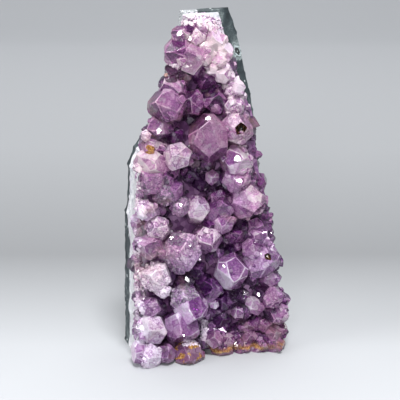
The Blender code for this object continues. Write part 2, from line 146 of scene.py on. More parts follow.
# The large crystals: across, up, half width, lean right, lean up, stand, tint, frost,
# warmth and, where it matters, the crystal's turn. Tint runs from 0, pale, to 1, deep
# violet; frost is how much fine druse it carries; warmth is a brown iron stain.
CRYSTALS = (
    # the narrow top
    (-6.5, 88, 4.0, -10, 35, 0, 0.75, 0.0, 0.0),
    (0.5, 89, 4.2, 5, 30, -1, 0.4, 0.1, 0.0),
    (7, 87.5, 4.0, 10, 25, -3, -0.1, 0.3, 0.0),
    (-12.5, 84, 4.5, -40, 20, -1, 0.45, 0.1, 0.0),
    (-2, 84, 5.0, 0, 30, 0, 0.15, 0.3, 0.0),
    (7.5, 83, 6.0, 10, 25, -2, -0.05, 0.2, 0.0, 30),
    (14, 75, 6.0, 30, 5, -3, -0.1, 0.2, 0.0, 70),
    (-14.5, 74, 8.5, -35, 0, 1, 0.5, 0.0, 0.1, 40),
    (-6, 73, 9.0, -10, 10, 2, 0.38, 0.0, 0.0, 15),
    (4, 76, 6.5, 10, 15, 1, 0.05, 0.1, 0.0, 60),
    (10, 69, 7.5, 15, 0, 1, 0.05, 0.1, 0.0, 100),
    (12.5, 63, 5.0, 15, -15, 3, 0.15, 0.4, 0.0),
    (-13.5, 63, 6.5, -25, -10, -4, 0.8, 0.0, 0.5),
    (3.5, 61, 6.5, 5, 0, -4, 0.55, 0.0, 0.0, 20),
    (-3.5, 66, 3.0, -10, 20, -1, 0.7, 0.0, 0.0),
    # the shoulders
    (19, 56, 5.5, 30, 10, 1, 0.15, 0.4, 0.0),
    (19, 48, 6.0, 25, 0, 2, 0.2, 0.3, 0.0),
    (20.3, 36, 9.2, 20, 0, 4, 0.33, 0.2, 0.1),
    (8.5, 52, 8.0, 10, 10, -2, 0.75, 0.0, 0.0),
    (-4.5, 50, 7.0, -10, 10, -1, 0.62, 0.0, 0.0),
    (-19.5, 48, 10.0, -25, 5, 1, 0.5, 0.1, 0.15),
    (-16.5, 57.5, 7.0, -25, 15, -1, 0.5, 0.1, 0.0),
    (-27, 30, 4.5, -40, 20, -3, 0.1, 0.3, 0.0),
    (-24.5, 36, 5.5, -35, -5, -1, 0.5, 0.1, 0.0),
    (4, 36, 11.5, 0, 29, 5, 0.55, 0.0, 0.3, 0),
    (-13, 33, 4.5, -10, 10, -4, 0.85, 0.0, 0.0),
    (-12.5, 22, 7.5, -10, 0, 3, 0.2, 0.35, 0.0, 50),
    (-29.5, 21, 7.5, -40, 25, -1, 0.2, 0.1, 0.15),
    # the middle
    (-26, 11, 8.0, -20, 10, 1, 0.52, 0.2, 0.0),
    (-17.5, 12, 5.5, 10, 15, 0, 0.72, 0.1, 0.0),
    (20.5, 20, 8.5, 20, 5, 3, 0.34, 0.0, 0.0),
    (19, 9, 7.5, 10, -20, 2, 0.4, 0.1, 0.0),
    # The next three sit far back in the darkest gap; their deep tints are partly painted shade there.
    (-5, 14, 4.5, 0, 15, -7, 0.95, 0.0, 0.0),
    (1.5, 8, 4.5, 20, -10, -7, 0.95, 0.0, 0.0),
    (7, 11, 4.5, -20, 5, -6, 0.9, 0.0, 0.0),
    (-18.5, 3, 7.0, -10, -10, 1, 0.65, 0.4, 0.0),
    (-12.5, 5, 5.5, 15, 0, 1, 0.62, 0.1, 0.0),
    (-28.5, -5, 5.5, -20, 0, 1, 0.25, 0.5, 0.0),
    (-10, -4, 5.0, 0, -10, 1, 0.45, 0.5, 0.0),
    (-1, -3, 6.5, 5, 15, 1, 0.18, 0.3, 0.0, 20),
    (10.5, -3, 8.5, 10, 15, -1, 0.68, 0.1, 0.0),
    (25.3, -4, 10.0, 20, -30, 3, 0.42, 0.1, 0.0, 170),
    (27, 5, 5.0, 40, 10, -1, 0.4, 0.2, 0.0),
    (-22, -14, 6.5, -10, 5, 2, 0.2, 0.5, 0.0),
    (-26.5, -23, 7.5, -20, 0, 1, 0.45, 0.1, 0.2),
    (-9.5, -26, 11.0, 0, 0, 4, 0.42, 0.45, 0.0),
    (5, -21, 7.5, 10, -20, 2, 0.2, 0.2, 0.0),
    (11, -12, 6.5, 0, -10, 1, 0.45, 0.1, 0.0),
    (19.5, -17, 5.0, 15, 0, -4, 0.6, 0.0, 0.0),
    (15.5, -25, 4.5, 0, 15, -8, 0.9, 0.0, 0.0),
    (33.5, -30.5, 10.5, 25, -5, 3, 0.45, 0.2, 0.0),
    (26.5, -23, 6.0, 0, 20, 2, 0.5, 0.1, 0.0),
    (31.5, -17, 6.0, 35, 20, 0, 0.45, 0.1, 0.0),
    (16, -39, 9.0, 5, -26, 4, 0.25, 0.1, 0.0, 165),
    # the foot
    (-24, -38, 8.0, -15, 5, 2, -0.12, 0.9, 0.0),
    (-17.5, -46, 4.0, 20, -10, 3, -0.25, 1.0, 0.0),
    (-15, -38, 5.0, 10, 0, -6, 0.9, 0.0, 0.0),
    (-8, -48.5, 7.5, 0, 10, 2, 0.5, 0.7, 0.0),
    (-3.5, -57.5, 8.5, 15, -25, 5, 0.36, 0.0, 0.0, 30),
    (-9, -66, 9.5, 0, -20, 4.5, 0.42, 0.0, 0.0, 10),
    (-24.5, -65, 8.5, -5, 0, 4, -0.2, 0.45, 0.0, 25),
    (-27, -53, 6.0, -20, 10, 0, 0.45, 0.2, 0.0),
    (-33, -77, 5.5, -25, -5, 5, 0.25, 0.1, 0.0),
    (-25.5, -79, 6.5, 0, -5, 7, 0.0, 0.8, 0.0),
    (-16.5, -78, 5.5, 10, -10, 6, 0.55, 0.1, 0.2),
    (-5.5, -79, 8.0, 5, -15, 6, 0.6, 0.0, 0.8),
    (6, -44, 6.0, 5, 5, -1, 0.7, 0.0, 0.0),
    (11, -50, 6.0, 0, 10, -3, 0.85, 0.0, 0.0),
    (38.5, -48, 7.0, 30, 5, 1, 0.45, 0.1, 0.0),
    (42, -57, 6.5, 40, 0, -1, 0.45, 0.1, 0.0),
    (19, -56, 5.0, -10, 10, -3, 0.6, 0.0, 0.1),
    (28, -52, 5.5, 0, 15, -1, 0.5, 0.0, 0.0),
    (11, -60, 6.0, 10, 10, -3, 0.85, 0.0, 0.0),
    (21.5, -74, 7.0, 5, 0, 2.5, 0.55, 0.0, 0.4),
    (31, -73, 6.5, 10, 5, 2.5, 0.5, 0.0, 0.3),
    (37.5, -73, 7.0, 20, -5, 2, 0.5, 0.0, 0.3),
    (11, -75, 6.5, 5, -5, 2, 0.55, 0.0, 0.5),
    # the right edge, leaning out over the wall
    (23, 42, 4.5, 50, 20, -4, 0.2, 0.3, 0.0),
    (22, 27, 4.5, 50, 5, -4, 0.3, 0.2, 0.0),
    (22.5, 15, 5.0, 50, 0, -3, 0.35, 0.2, 0.0),
    (26, 9, 4.5, 45, 10, -3, 0.4, 0.2, 0.0),
    (30.5, -3, 5.0, 45, 0, -3, 0.45, 0.1, 0.0),
    (30, -13, 4.8, 40, 5, -3, 0.5, 0.1, 0.0),
    (35.5, -23, 5.0, 50, 10, -4, 0.5, 0.1, 0.0),
    (38, -39, 5.5, 45, 0, -2, 0.5, 0.1, 0.0),
    (43.5, -50, 5.0, 45, 5, -4, 0.5, 0.1, 0.0),
    (41.5, -65, 5.0, 45, 0, -3, 0.5, 0.0, 0.3),
)

# A few more, placed the same way: a rust-coloured chip, white tips and glassy points.
EXTRAS = (
    (-26, 26, 3.0, -20, 30, 0, 0.3, 0.0, -1.0),
    (-28.5, 33, 3.0, -45, 30, 0, 0.0, 0.6, 0.0),
    (11.8, 63, 4.6, 5, 5, 4.5, 0.1, 0.0, 0.0),
    (6, 66, 3.0, -30, 10, 2, 0.0, 0.2, 0.0),
    (-8, 84, 3.5, -20, 10, 0.5, 0.1, 0.0, 0.0),
    (-1, 82, 4.0, 10, 20, 1.5, 0.05, 0.2, 0.0),
    (-10, 70, 3.0, -20, 0, 4, 0.3, 0.0, 0.0),
    (2.5, 71, 4.0, 0, 0, 3.5, 0.2, 0.0, 0.0),
    # The next four are the dark band under the overhanging group at the top; their tints, at and past deep violet, are
    # partly painted shade under the overhang.
    (-7, 62, 3.2, 0, 10, -2, 1.0, 0.0, 0.3),
    (-14, 63.5, 4.6, -20, -35, -1, 1.2, 0.0, 0.25),
    (-9.5, 63, 4.4, -5, -35, -1.5, 1.3, 0.0, 0.2),
    (-16, 60, 3.6, -25, -10, -0.5, 1.1, 0.0, 0.3),
    (-17.6, 62.5, 1.1, -60, 0, -1, 0.3, 0.0, -0.5),
    (-22.0, 49, 1.0, -60, 0, -2, 0.3, 0.0, -0.5),
    (28, -61, 5.0, 10, 15, -1, 0.45, 0.0, 0.1),
    (24.5, -63, 4.0, -10, 10, 0, 0.5, 0.0, 0.2),
    (33, -63, 4.5, 15, 0, 0, 0.4, 0.0, 0.3),
    (26.5, -51, 4.2, 5, 20, 1, 0.15, 0.0, 0.0),
    (18.5, -55.5, 4.0, -10, 25, 0, 0.2, 0.0, 0.0),
    (7, -52, 2.8, 0, 10, -1, 0.2, 0.0, 0.0),
    (7, -69, 5.0, -5, 20, 2, 0.35, 0.0, 0.2),
    (14, -69.5, 4.5, 5, 20, 2, 0.3, 0.0, 0.2),
    (25, -68, 4.5, 5, 15, 2, 0.35, 0.0, 0.3),
    (37, -67, 4.5, 15, 10, 2, 0.4, 0.0, 0.3),
    (6, 11, 4.0, 0, -10, -3, 0.25, 0.0, 0.0),
    (10, 2, 3.5, 10, 0, -1, 0.6, 0.0, 0.0),
    (5, -13, 5.0, 0, 0, -2, 0.75, 0.0, 0.0),
)

# Small crystals with one face turned so that it mirrors the key light to the display side:
# across, up, half width, the bearing in degrees of the rest of the crystal, and tint.
GLINTS = (
    (-10.3, 83.3, 2.0, 240, 0.3),
    (-5.9, 81.4, 2.6, 300, 0.1),
    (4.2, 40.6, 2.1, 200, 0.3),
    (19.1, 20.6, 2.7, 215, 0.2),
    (20.1, 9.3, 2.7, 160, 0.25),
    (-20.6, 34.3, 2.0, 250, 0.4),
    (-8.8, 13.7, 1.2, 270, 0.6),
    (2.5, 5.4, 1.1, 270, 0.7),
    (5.9, 12.0, 2.6, 90, 0.2),
    (-9.0, -40.2, 4.4, 270, 0.5),
    (29.4, -47.1, 1.7, 270, 0.4),
    (18.6, -62.7, 1.1, 290, 0.6),
    (-8.3, -67.6, 1.0, 270, 0.4),
    (7.8, 64.7, 2.4, 280, 0.1),
    (12.7, 63.7, 1.7, 200, 0.1),
    (-6.4, 63.2, 1.1, 270, 0.8),
    (9.8, 56.4, 1.1, 270, 0.6),
    (11.8, 42.6, 1.5, 0, 0.3),
    (-9.8, -2.5, 1.6, 270, 0.2),
    (-34.2, -75.0, 1.8, 300, 0.3),
    (-16.7, 67.2, 1.7, 270, 0.2),
    (-11.3, 66.2, 1.3, 270, 0.2),
    (-29.0, 2.0, 1.2, 270, 0.2),
    (24.0, -9.0, 1.3, 270, 0.3),
    (12.0, -33.0, 1.2, 300, 0.2),
    (-14.0, -19.0, 1.3, 250, 0.2),
    (30.0, -27.0, 1.2, 270, 0.3),
    (1.0, 78.0, 2.0, 300, 0.0),
    (12.0, 75.0, 1.6, 240, 0.0),
)

# Pits that other minerals left in two of the crystals: across, up, radius, depth, sides.
PITS = (
    (20.3, 35.5, 3.6, 5.0, 5),
    (34.0, -28.0, 2.2, 3.0, 5),
)

# Patches of fine crystals as seen from the display side: the patch's outline across and up,
# how many crystals to try, their half widths, the range of their tint, and their frost.
PATCHES = (
    (((-12, 95), (-2, 95), (9, 91), (13, 86), (9, 84), (0, 87), (-11, 88)), 520, (0.45, 1.1), (-0.7, -0.4), 0.8),
    (
        ((1, 88), (11, 86), (15, 77), (18, 68), (22, 55), (25, 44), (21, 40), (15, 49), (9, 62), (3, 68)),
        90,
        (1.6, 3.6),
        (-0.25, 0.1),
        0.15,
    ),
    (
        ((-35, 17), (-31, 18), (-29, 0), (-30, -24), (-29, -49), (-32, -70), (-36, -70), (-37, -25)),
        700,
        (0.6, 1.8),
        (-0.6, 0.15),
        0.8,
    ),
    (((-35.5, 16), (-30, 18), (-29, 0), (-30, -24), (-28, -49), (-29, -72), (-36, -72)), 230, (1.6, 3.2), (-0.4, 0.3), 0.4),
    (((0.6, -60), (3.4, -60), (5.2, -76), (0.6, -76)), 260, (0.5, 1.4), (-0.5, -0.3), 0.9),
    (((3, -66), (40, -64), (40, -74), (3, -75)), 330, (0.9, 2.2), (0.25, 0.75), 0.05),
    (((-17, 68.2), (-4, 67.4), (-4, 66.4), (-17, 66.8)), 90, (0.4, 0.8), (-0.6, -0.2), 0.9),
    (((-9, -70), (1, -69.5), (1, -72.5), (-9, -73)), 160, (0.4, 0.9), (-0.5, -0.3), 1.0),
    (
        ((23, 36), (29, 36), (30, 20), (34, 0), (36.5, -20), (43, -45), (44, -65), (39, -65), (36, -40), (31, -10), (26, 10)),
        260,
        (1.2, 2.4),
        (0.25, 0.6),
        0.1,
    ),
)

# A filled gas bubble in the rind's sawn corner, in the model's frame, in metres.
BUBBLE_PLACE = (0.0196, 0.0122, 0.1490)
BUBBLE_SIZE = 0.0052

# How strongly iron colours the foot at a height, as shares of 20 mm.
RUST_LINE = ((0.08, 0.0), (0.15, 1.0), (0.26, 0.0))

# The paper's grey at some distances behind the cluster's middle, in metres: painted light
# and shade, paler in front, darkest a little behind the cluster and paler again further back.
PAPER_LIGHT_AND_SHADE = ((-0.1, 0.47), (0.0, 0.44), (0.16, 0.24), (0.45, 0.38), (0.95, 0.54), (1.3, 0.5))

FILL_STEP = 8.6
FILL_JITTER = 2.4
FILL_SIZES = (3.6, 5.4)
FILL_LEAN = math.radians(24.0)
FILL_STAND = 2.5
FILL_SEED = 11
DETAIL_SEED = 23
SHADE_SEED = 5


def relief(x, z, grain, seed):
    return noise.noise(Vector((x / grain, z / grain, seed)))


def thinning(z):
    return 1.0 - THINNING * z / HEIGHT


def skin(x, z):
    return BACK - BACK_LEAN * z - BACK_CURVE * (x / RIGHT) ** 2


def rough_skin(x, z):
    """The back of the wall: broad swells, knobs and small pits."""
    broad = relief(x, z, 17.0, 3.1) + 0.45 * relief(x, z, 6.8, 7.7)
    place = Vector((x, 4.0, z))
    knobs = noise.fractal(place / 4.5, 0.9, 2.1, 4)
    cell = noise.voronoi(place / 3.4)[0]
    pit = max(0.0, 0.32 - cell[0]) * 2.2
    return skin(x, z) + 2.4 * broad + 0.5 * knobs - pit - 0.4


def join(x, z, grain, seed):
    return relief(x, z, grain, seed) + 0.35 * relief(x, z, grain * 0.25, seed + 1.0)


def rind_front(x, z):
    """Where the rind meets the band. The rind is uneven at the left edge, thin there above,
    and thicker towards the sawn corner."""
    left = min(1.0, max(0.0, (-24.0 - x) / 10.0))
    above = min(1.0, max(0.0, (z - 62.0) / 14.0))
    uneven = 4.2 * above - 2.0 + 3.4 * noise.noise(Vector((0.0, z / 9.0, 4.4)))
    corner = min(1.0, max(0.0, (x - 10.0) / 8.0)) * min(1.0, max(0.0, (z - 95.0) / 20.0))
    thinnest = skin(x, z) - 1.2
    plain = skin(x, z) - RIND * thinning(z) + 1.0 * join(x, z, 22.0, 5.3)
    return min(thinnest, plain + left * uneven - 2.6 * corner)


def band_front(x, z):
    return skin(x, z) - (RIND + BAND) * thinning(z) + 1.0 * join(x, z, 22.0, 9.9)


def bed_front(x, z):
    """The crystals' bed as the solid has it."""
    wave = 3.0 * relief(x, z, 22.0, 2.2)
    return skin(x, z) - (RIND + BAND + BED) * thinning(z) + wave


def bump(offset, size):
    return math.exp(-((offset / size) ** 2))


def tip_front(x, z):
    top = min(1.0, max(0.0, (z - 105.0) / (HEIGHT - 105.0)))
    recess = bump(x - RECESS_CENTRE[0], RECESS_SIZE[0]) * bump(z - RECESS_CENTRE[1], RECESS_SIZE[1])
    return TIP_PLANE + TOP_SETBACK * top + RECESS_DEPTH * recess


# ---- sawn layers ----


def saw(bm, cut):
    point, normal = cut
    everything = list(bm.verts) + list(bm.edges) + list(bm.faces)
    bmesh.ops.bisect_plane(bm, geom=everything, plane_co=point, plane_no=normal, clear_outer=True)
    rim = [edge for edge in bm.edges if edge.is_boundary]
    if rim:
        bmesh.ops.holes_fill(bm, edges=rim, sides=0)


def to_object(name, bm):
    bmesh.ops.recalc_face_normals(bm, faces=bm.faces)
    bmesh.ops.translate(bm, verts=bm.verts, vec=-MIDDLE)
    bmesh.ops.scale(bm, vec=(0.001, 0.001, 0.001), verts=bm.verts)
    mesh = bpy.data.meshes.new(name)
    bm.to_mesh(mesh)
    bm.free()
    obj = bpy.data.objects.new(name, mesh)
    bpy.context.scene.collection.objects.link(obj)
    return obj


def wedge(outline, cuts):
    bm = bmesh.new()
    face = bm.faces.new([bm.verts.new((x, -AHEAD, z)) for x, z in outline])
    drawn = bmesh.ops.extrude_face_region(bm, geom=[face])
    moved = [part for part in drawn["geom"] if isinstance(part, bmesh.types.BMVert)]
    bmesh.ops.translate(bm, verts=moved, vec=(0.0, 2.0 * AHEAD, 0.0))
    for cut in cuts:
        saw(bm, cut)
    return bm


def rough_wedge(outline, cuts):
    """A wedge whose sides have the small chips and grain of a broken or sawn rock."""
    rim = []
    for (x0, z0), (x1, z1) in zip(outline, outline[1:] + outline[:1]):
        length = math.hypot(x1 - x0, z1 - z0)
        steps = 1 if z0 == z1 else max(1, round(length / 1.5))
        inward = Vector((z1 - z0, 0.0, x0 - x1)) / length
        for step in range(steps):
            place = Vector((x0, 0.0, z0)).lerp(Vector((x1, 0.0, z1)), step / steps)
            rim.append((place, inward if step else inward * 0.0))
    ahead = [-AHEAD] + [-18.0 + 1.6 * step for step in range(28)] + [AHEAD]
    bm = bmesh.new()
    rings = []
    for y in ahead:
        ring = []
        for place, inward in rim:
            point = Vector((place.x, y, place.z))
            chip = 0.45 + 0.5 * noise.noise(point / 4.0) + 0.3 * noise.noise(point / 1.6)
            ring.append(bm.verts.new(point + inward * max(0.0, chip)))
        rings.append(ring)
    count = len(rim)
    for near, far in zip(rings, rings[1:]):
        for i in range(count):
            bm.faces.new((near[i], near[(i + 1) % count], far[(i + 1) % count], far[i]))
    bm.faces.new(rings[0])
    bm.faces.new(rings[-1])
    bmesh.ops.recalc_face_normals(bm, faces=bm.faces)
    for cut in cuts:
        saw(bm, cut)
    return bm


def layer(front, back, step):
    """A slab between two surfaces, each given as y at a place (x, z)."""
    half_x = RIGHT + 6.0
    low, high = -6.0, HEIGHT + 12.0
    columns = round(2.0 * half_x / step)
    rows = round((high - low) / step)
    bm = bmesh.new()
    bmesh.ops.create_grid(bm, x_segments=columns, y_segments=rows, size=1.0)
    drawn = bmesh.ops.extrude_face_region(bm, geom=list(bm.faces))
    front_points = {part for part in drawn["geom"] if isinstance(part, bmesh.types.BMVert)}
    for point in bm.verts:
        surface = front if point in front_points else back
        x = point.co.x * half_x
        z = low + (point.co.y + 1.0) / 2.0 * (high - low)
        point.co = Vector((x, surface(x, z), z))
    return bm


def combine(obj, operation, bm, use_self=False):
    """Applies a Boolean between an object and the solid in bm."""
    cutter = to_object("cutter", bm)
    modifier = obj.modifiers.new("sawn", "BOOLEAN")
    modifier.operation = operation
    modifier.solver = "EXACT"
    modifier.use_self = use_self
    modifier.object = cutter
    graph = bpy.context.evaluated_depsgraph_get()
    mesh = bpy.data.meshes.new_from_object(obj.evaluated_get(graph), depsgraph=graph)
    obj.modifiers.clear()
    obj.data = mesh
    bpy.data.objects.remove(cutter)


# ---- crystals ----


class Heap:
    """Crystals gathered into one mesh. Each face has a mark: tint, sawn, frost, warmth."""

    def __init__(self):
        self.points = []
        self.faces = []
        self.marks = []
        self.shades = random.Random(SHADE_SEED)

    def add(self, bm, mark):
        """Adds a crystal. Its faces differ a little in tint at random, which paints in the
        different light that each facet catches, and narrow faces along the edges are paler,
        as a painted highlight."""
        first = len(self.points)
        bm.verts.ensure_lookup_table()
        self.points.extend(point.co.copy() for point in bm.verts)
        largest = max(face.calc_area() for face in bm.faces)
        tint, *others = mark
        for face in bm.faces:
            self.faces.append([first + point.index for point in face.verts])
            # Painted light and shade: narrow faces along the edges are paler, as a highlight, and each other face is
            # shifted at random towards light or dark.
            lit_edge = face.calc_area() < 0.06 * largest
            shift = -0.2 if lit_edge else self.shades.uniform(-0.26, 0.26)
            self.marks.append((tint + shift, *others))

    def tree(self):
        return BVHTree.FromPolygons(self.points, self.faces)

    def to_object(self, name):
        bm = bmesh.new()
        marks = bm.faces.layers.float_color.new("mark")
        points = [bm.verts.new(place) for place in self.points]
        for face, mark in zip(self.faces, self.marks):
            bm.faces.new([points[index] for index in face])[marks] = mark
        return to_object(name, bm)


def eye_frame():
    toward = Vector(
        (
            math.sin(EYE_TURN) * math.cos(EYE_RISE),
            -math.cos(EYE_TURN) * math.cos(EYE_RISE),
            math.sin(EYE_RISE),
        )
    )
    right = Vector((math.cos(EYE_TURN), math.sin(EYE_TURN), 0.0))
    up = toward.cross(right)
    return right, up, toward, VIEW_MIDDLE + toward * EYE_DISTANCE


def place_on_tips(across, up_by, stand):
    right, up, _, eye = eye_frame()
    aim = (VIEW_MIDDLE + right * across + up * up_by - eye).normalized()
    place = VIEW_MIDDLE + right * across + up * up_by
    for _ in range(12):
        miss = tip_front(place.x, place.z) - stand - place.y
        place = place + aim * (miss / aim.y)
    return place


def leaning_axis(lean_right, lean_up):
    right, up, toward, _ = eye_frame()
    flat = toward + right * math.tan(math.radians(lean_right)) + up * math.tan(math.radians(lean_up))
    return flat.normalized()


def crystal_mesh(half_width, length, rng):
    """A six-sided quartz crystal along +Z with its tip at the origin."""
    bm = bmesh.new()
    outer = half_width / math.cos(math.pi / 6.0)
    bmesh.ops.create_cone(
        bm, cap_ends=True, segments=6, radius1=outer * 0.82, radius2=outer, depth=length
    )
    bmesh.ops.translate(bm, verts=bm.verts, vec=(0.0, 0.0, -length / 2.0 + half_width))
    flatness = rng.uniform(0.84, 1.0)
    squeeze = Matrix.Rotation(rng.uniform(0.0, math.pi), 3, "Z")
    for point in bm.verts:
        turned = squeeze @ point.co
        turned.x *= flatness
        point.co = squeeze.inverted() @ turned
    for side in range(6):
        angle = math.pi / 6.0 + side * math.pi / 3.0
        if side % 2:
            height = half_width * rng.uniform(0.05, 0.36)
        else:
            height = half_width * rng.uniform(-0.1, 0.1)
        normal = Vector(
            (
                math.cos(angle) * math.sin(TIP_SLOPE),
                math.sin(angle) * math.sin(TIP_SLOPE),
                math.cos(TIP_SLOPE),
            )
        )
        saw(bm, (Vector((0.0, 0.0, height)), normal))
    return bm


def soften(bm, width):
    bmesh.ops.bevel(
        bm, geom=list(bm.edges), offset=width, segments=1, profile=0.5, affect="EDGES", clamp_overlap=True
    )


def turned_to(axis, spin, tip):
    turn = axis.to_track_quat("Z", "Y").to_matrix().to_4x4()
    return Matrix.Translation(tip) @ turn @ Matrix.Rotation(spin, 4, "Z")


def root_length(tip, axis):
    length = 4.0
    while length < 34.0:
        end = tip - axis * length
        if end.y > bed_front(end.x, end.z) + 0.45 * BED * thinning(end.z):
            break
        length += 0.5
    return length


def inside_box(bm):
    low = Vector(cad_low) * 1000.0 + MIDDLE
    high = Vector(cad_high) * 1000.0 + MIDDLE
    return all(low[i] < point.co[i] < high[i] for point in bm.verts for i in range(3))


def place_crystal(heap, half_width, length, axis, spin, tip, rng, mark, edge=0.045, whole=False):
    """Adds a crystal. One that has to stay whole is left out if a saw cut would meet it."""
    bm = crystal_mesh(half_width, length, rng)
    if edge:
        soften(bm, half_width * edge)
    bmesh.ops.transform(bm, matrix=turned_to(axis, spin, tip), verts=bm.verts)
    met = any((point.co - at).dot(normal) > 0.0 for at, normal in CRUST_CUTS for point in bm.verts)
    if not whole and not inside_box(bm):
        widest = Vector(cad_high) * 1000.0 + MIDDLE
        saw(bm, (widest - Vector((0.1, 0.0, 0.0)), Vector((1.0, 0.0, 0.0))))
    if not whole or (inside_box(bm) and not met):
        heap.add(bm, mark)
    bm.free()


def large_crystals(heap, rng):
    """Places the large crystals, and returns what the smaller ones growing on them need."""
    hosts = []
    for entry in CRYSTALS:
        across, up_by, half_width, lean_right, lean_up, stand, tint, frost, warmth, *turn = entry
        axis = leaning_axis(lean_right, lean_up)
        tip = place_on_tips(across, up_by, stand) + axis * half_width * 0.55
        length = root_length(tip, axis)
        spin = rng.uniform(0.0, 2.0 * math.pi)
        if turn:
            spin = math.radians(turn[0])
        mark = (tint, 0.0, frost, warmth)
        place_crystal(heap, half_width, length, axis, spin, tip, rng, mark)
        hosts.append((half_width, axis, spin, tip, mark, bool(turn)))
    return hosts


def extra_crystals(heap, rng):
    for across, up_by, half_width, lean_right, lean_up, stand, *mark in EXTRAS:
        axis = leaning_axis(lean_right, lean_up)
        tip = place_on_tips(across, up_by, stand) + axis * half_width * 0.55
        tint, frost, warmth = mark
        spin = rng.uniform(0.0, 2.0 * math.pi)
        own_mark = (tint, 0.0, frost, warmth)
        place_crystal(heap, half_width, half_width * 2.6, axis, spin, tip, rng, own_mark, whole=True)


def glint_crystals(heap, covered, rng):
    right, up, _, eye = eye_frame()
    key = Matrix.Rotation(EYE_TURN, 3, "Z") @ Vector(KEY_PLACE) * 1000.0 + MIDDLE
    for across, up_by, half_width, bearing, tint in GLINTS:
        aim = (VIEW_MIDDLE + right * across + up * up_by - eye).normalized()
        place, _, _, _ = covered.ray_cast(eye, aim)
        if place is None:
            continue
        mirror = ((key - place).normalized() + (eye - place).normalized()).normalized()
        bearing = math.radians(bearing)
        aside = right * math.cos(bearing) + up * math.sin(bearing)
        aside = (aside - mirror * aside.dot(mirror)).normalized()
        axis = mirror * math.cos(TIP_SLOPE) + aside * math.sin(TIP_SLOPE)
        outward = (mirror - axis * math.cos(TIP_SLOPE)) / math.sin(TIP_SLOPE)
        local = axis.to_track_quat("Z", "Y").to_matrix().transposed() @ outward
        spin = math.atan2(local.y, local.x) - math.pi / 6.0
        tip = place + mirror * half_width * 0.25 - outward * half_width * 0.55 + axis * half_width * 0.7
        mark = (tint, 0.0, 0.0, 0.0)
        place_crystal(heap, half_width, half_width * 2.4, axis, spin, tip, rng, mark, 0.0, True)


def inside_bed(x, z, margin):
    for (x0, z0), (x1, z1) in zip(BED_OUTLINE, BED_OUTLINE[1:] + BED_OUTLINE[:1]):
        edge = Vector((x1 - x0, z1 - z0))
        if edge.length and edge.cross(Vector((x - x0, z - z0))) / edge.length > -margin:
            return False
    return True


def small_crystals(heap, rng, tints):
    covered = heap.tree()
    rows = int(HEIGHT / FILL_STEP) + 1
    columns = int((RIGHT - LEFT) / FILL_STEP) + 1
    for row in range(rows):
        for column in range(columns):
            shift = 0.5 * FILL_STEP * (row % 2)
            x = LEFT + shift + column * FILL_STEP + rng.uniform(-FILL_JITTER, FILL_JITTER)
            z = 3.0 + row * FILL_STEP + rng.uniform(-FILL_JITTER, FILL_JITTER)
            half_width = rng.uniform(*FILL_SIZES)
            lean = Vector((rng.gauss(0.0, 1.0), 0.0, rng.gauss(0.0, 1.0))) * math.tan(FILL_LEAN) * 0.6
            spin = rng.uniform(0.0, 2.0 * math.pi)
            if not inside_bed(x, z, 1.0):
                continue
            axis = (Vector((0.0, -1.0, 0.0)) + lean).normalized()
            tip = Vector((x, bed_front(x, z) - FILL_STAND - half_width, z))
            _, _, _, distance = covered.ray_cast(tip + Vector((0.0, -80.0, 0.0)), Vector((0.0, 1.0, 0.0)))
            hidden_by = 0.0 if distance is None else 80.0 - distance
            if hidden_by > 4.0:
                continue
            mark = (tints.uniform(0.45, 0.9), 0.0, tints.uniform(0.0, 0.2), 0.0)
            place_crystal(heap, half_width, root_length(tip, axis), axis, spin, tip, rng, mark)


def growths(heap, hosts, rng):
    """Small crystals that grew on the tips of the large ones, nearly in line with them."""
    for half_width, axis, spin, tip, mark, plain in hosts:
        frame_of = turned_to(axis, spin, tip)
        for _ in range(0 if plain else rng.randrange(2, 7)):
            size = half_width * rng.uniform(0.15, 0.36)
            away = half_width * rng.uniform(0.5, 0.9)
            angle = rng.uniform(0.0, 2.0 * math.pi)
            local = Vector((away * math.cos(angle), away * math.sin(angle), -1.1 * away + size * rng.uniform(0.1, 0.5)))
            place = frame_of @ local
            own_axis = (axis + scatter(rng, 0.09)).normalized()
            own_mark = (mark[0] + rng.uniform(-0.1, 0.12), 0.0, mark[2], mark[3])
            place_crystal(heap, size, size * 2.6, own_axis, spin, place, rng, own_mark, 0.05, True)
        for _ in range(0 if plain else int((mark[2] - 0.15) * half_width * 10.0)):
            size = rng.uniform(0.6, 1.6)
            away = half_width * math.sqrt(rng.uniform(0.1, 1.0))
            angle = rng.uniform(0.0, 2.0 * math.pi)
            local = Vector((away * math.cos(angle), away * math.sin(angle), -1.15 * away + size * 0.5))
            place = frame_of @ local
            outward = (frame_of.to_3x3() @ Vector((math.cos(angle), math.sin(angle), 0.8))).normalized()
            own_axis = (outward + scatter(rng, 0.35)).normalized()
            own_mark = (mark[0] + rng.uniform(-0.1, 0.1), 0.0, mark[2], mark[3])
            turn = rng.uniform(0.0, 2.0 * math.pi)
            place_crystal(heap, size, size * 3.0, own_axis, turn, place, rng, own_mark, 0.0, True)


def scatter(rng, spread):
    return Vector((rng.gauss(0.0, spread), rng.gauss(0.0, spread), rng.gauss(0.0, spread)))


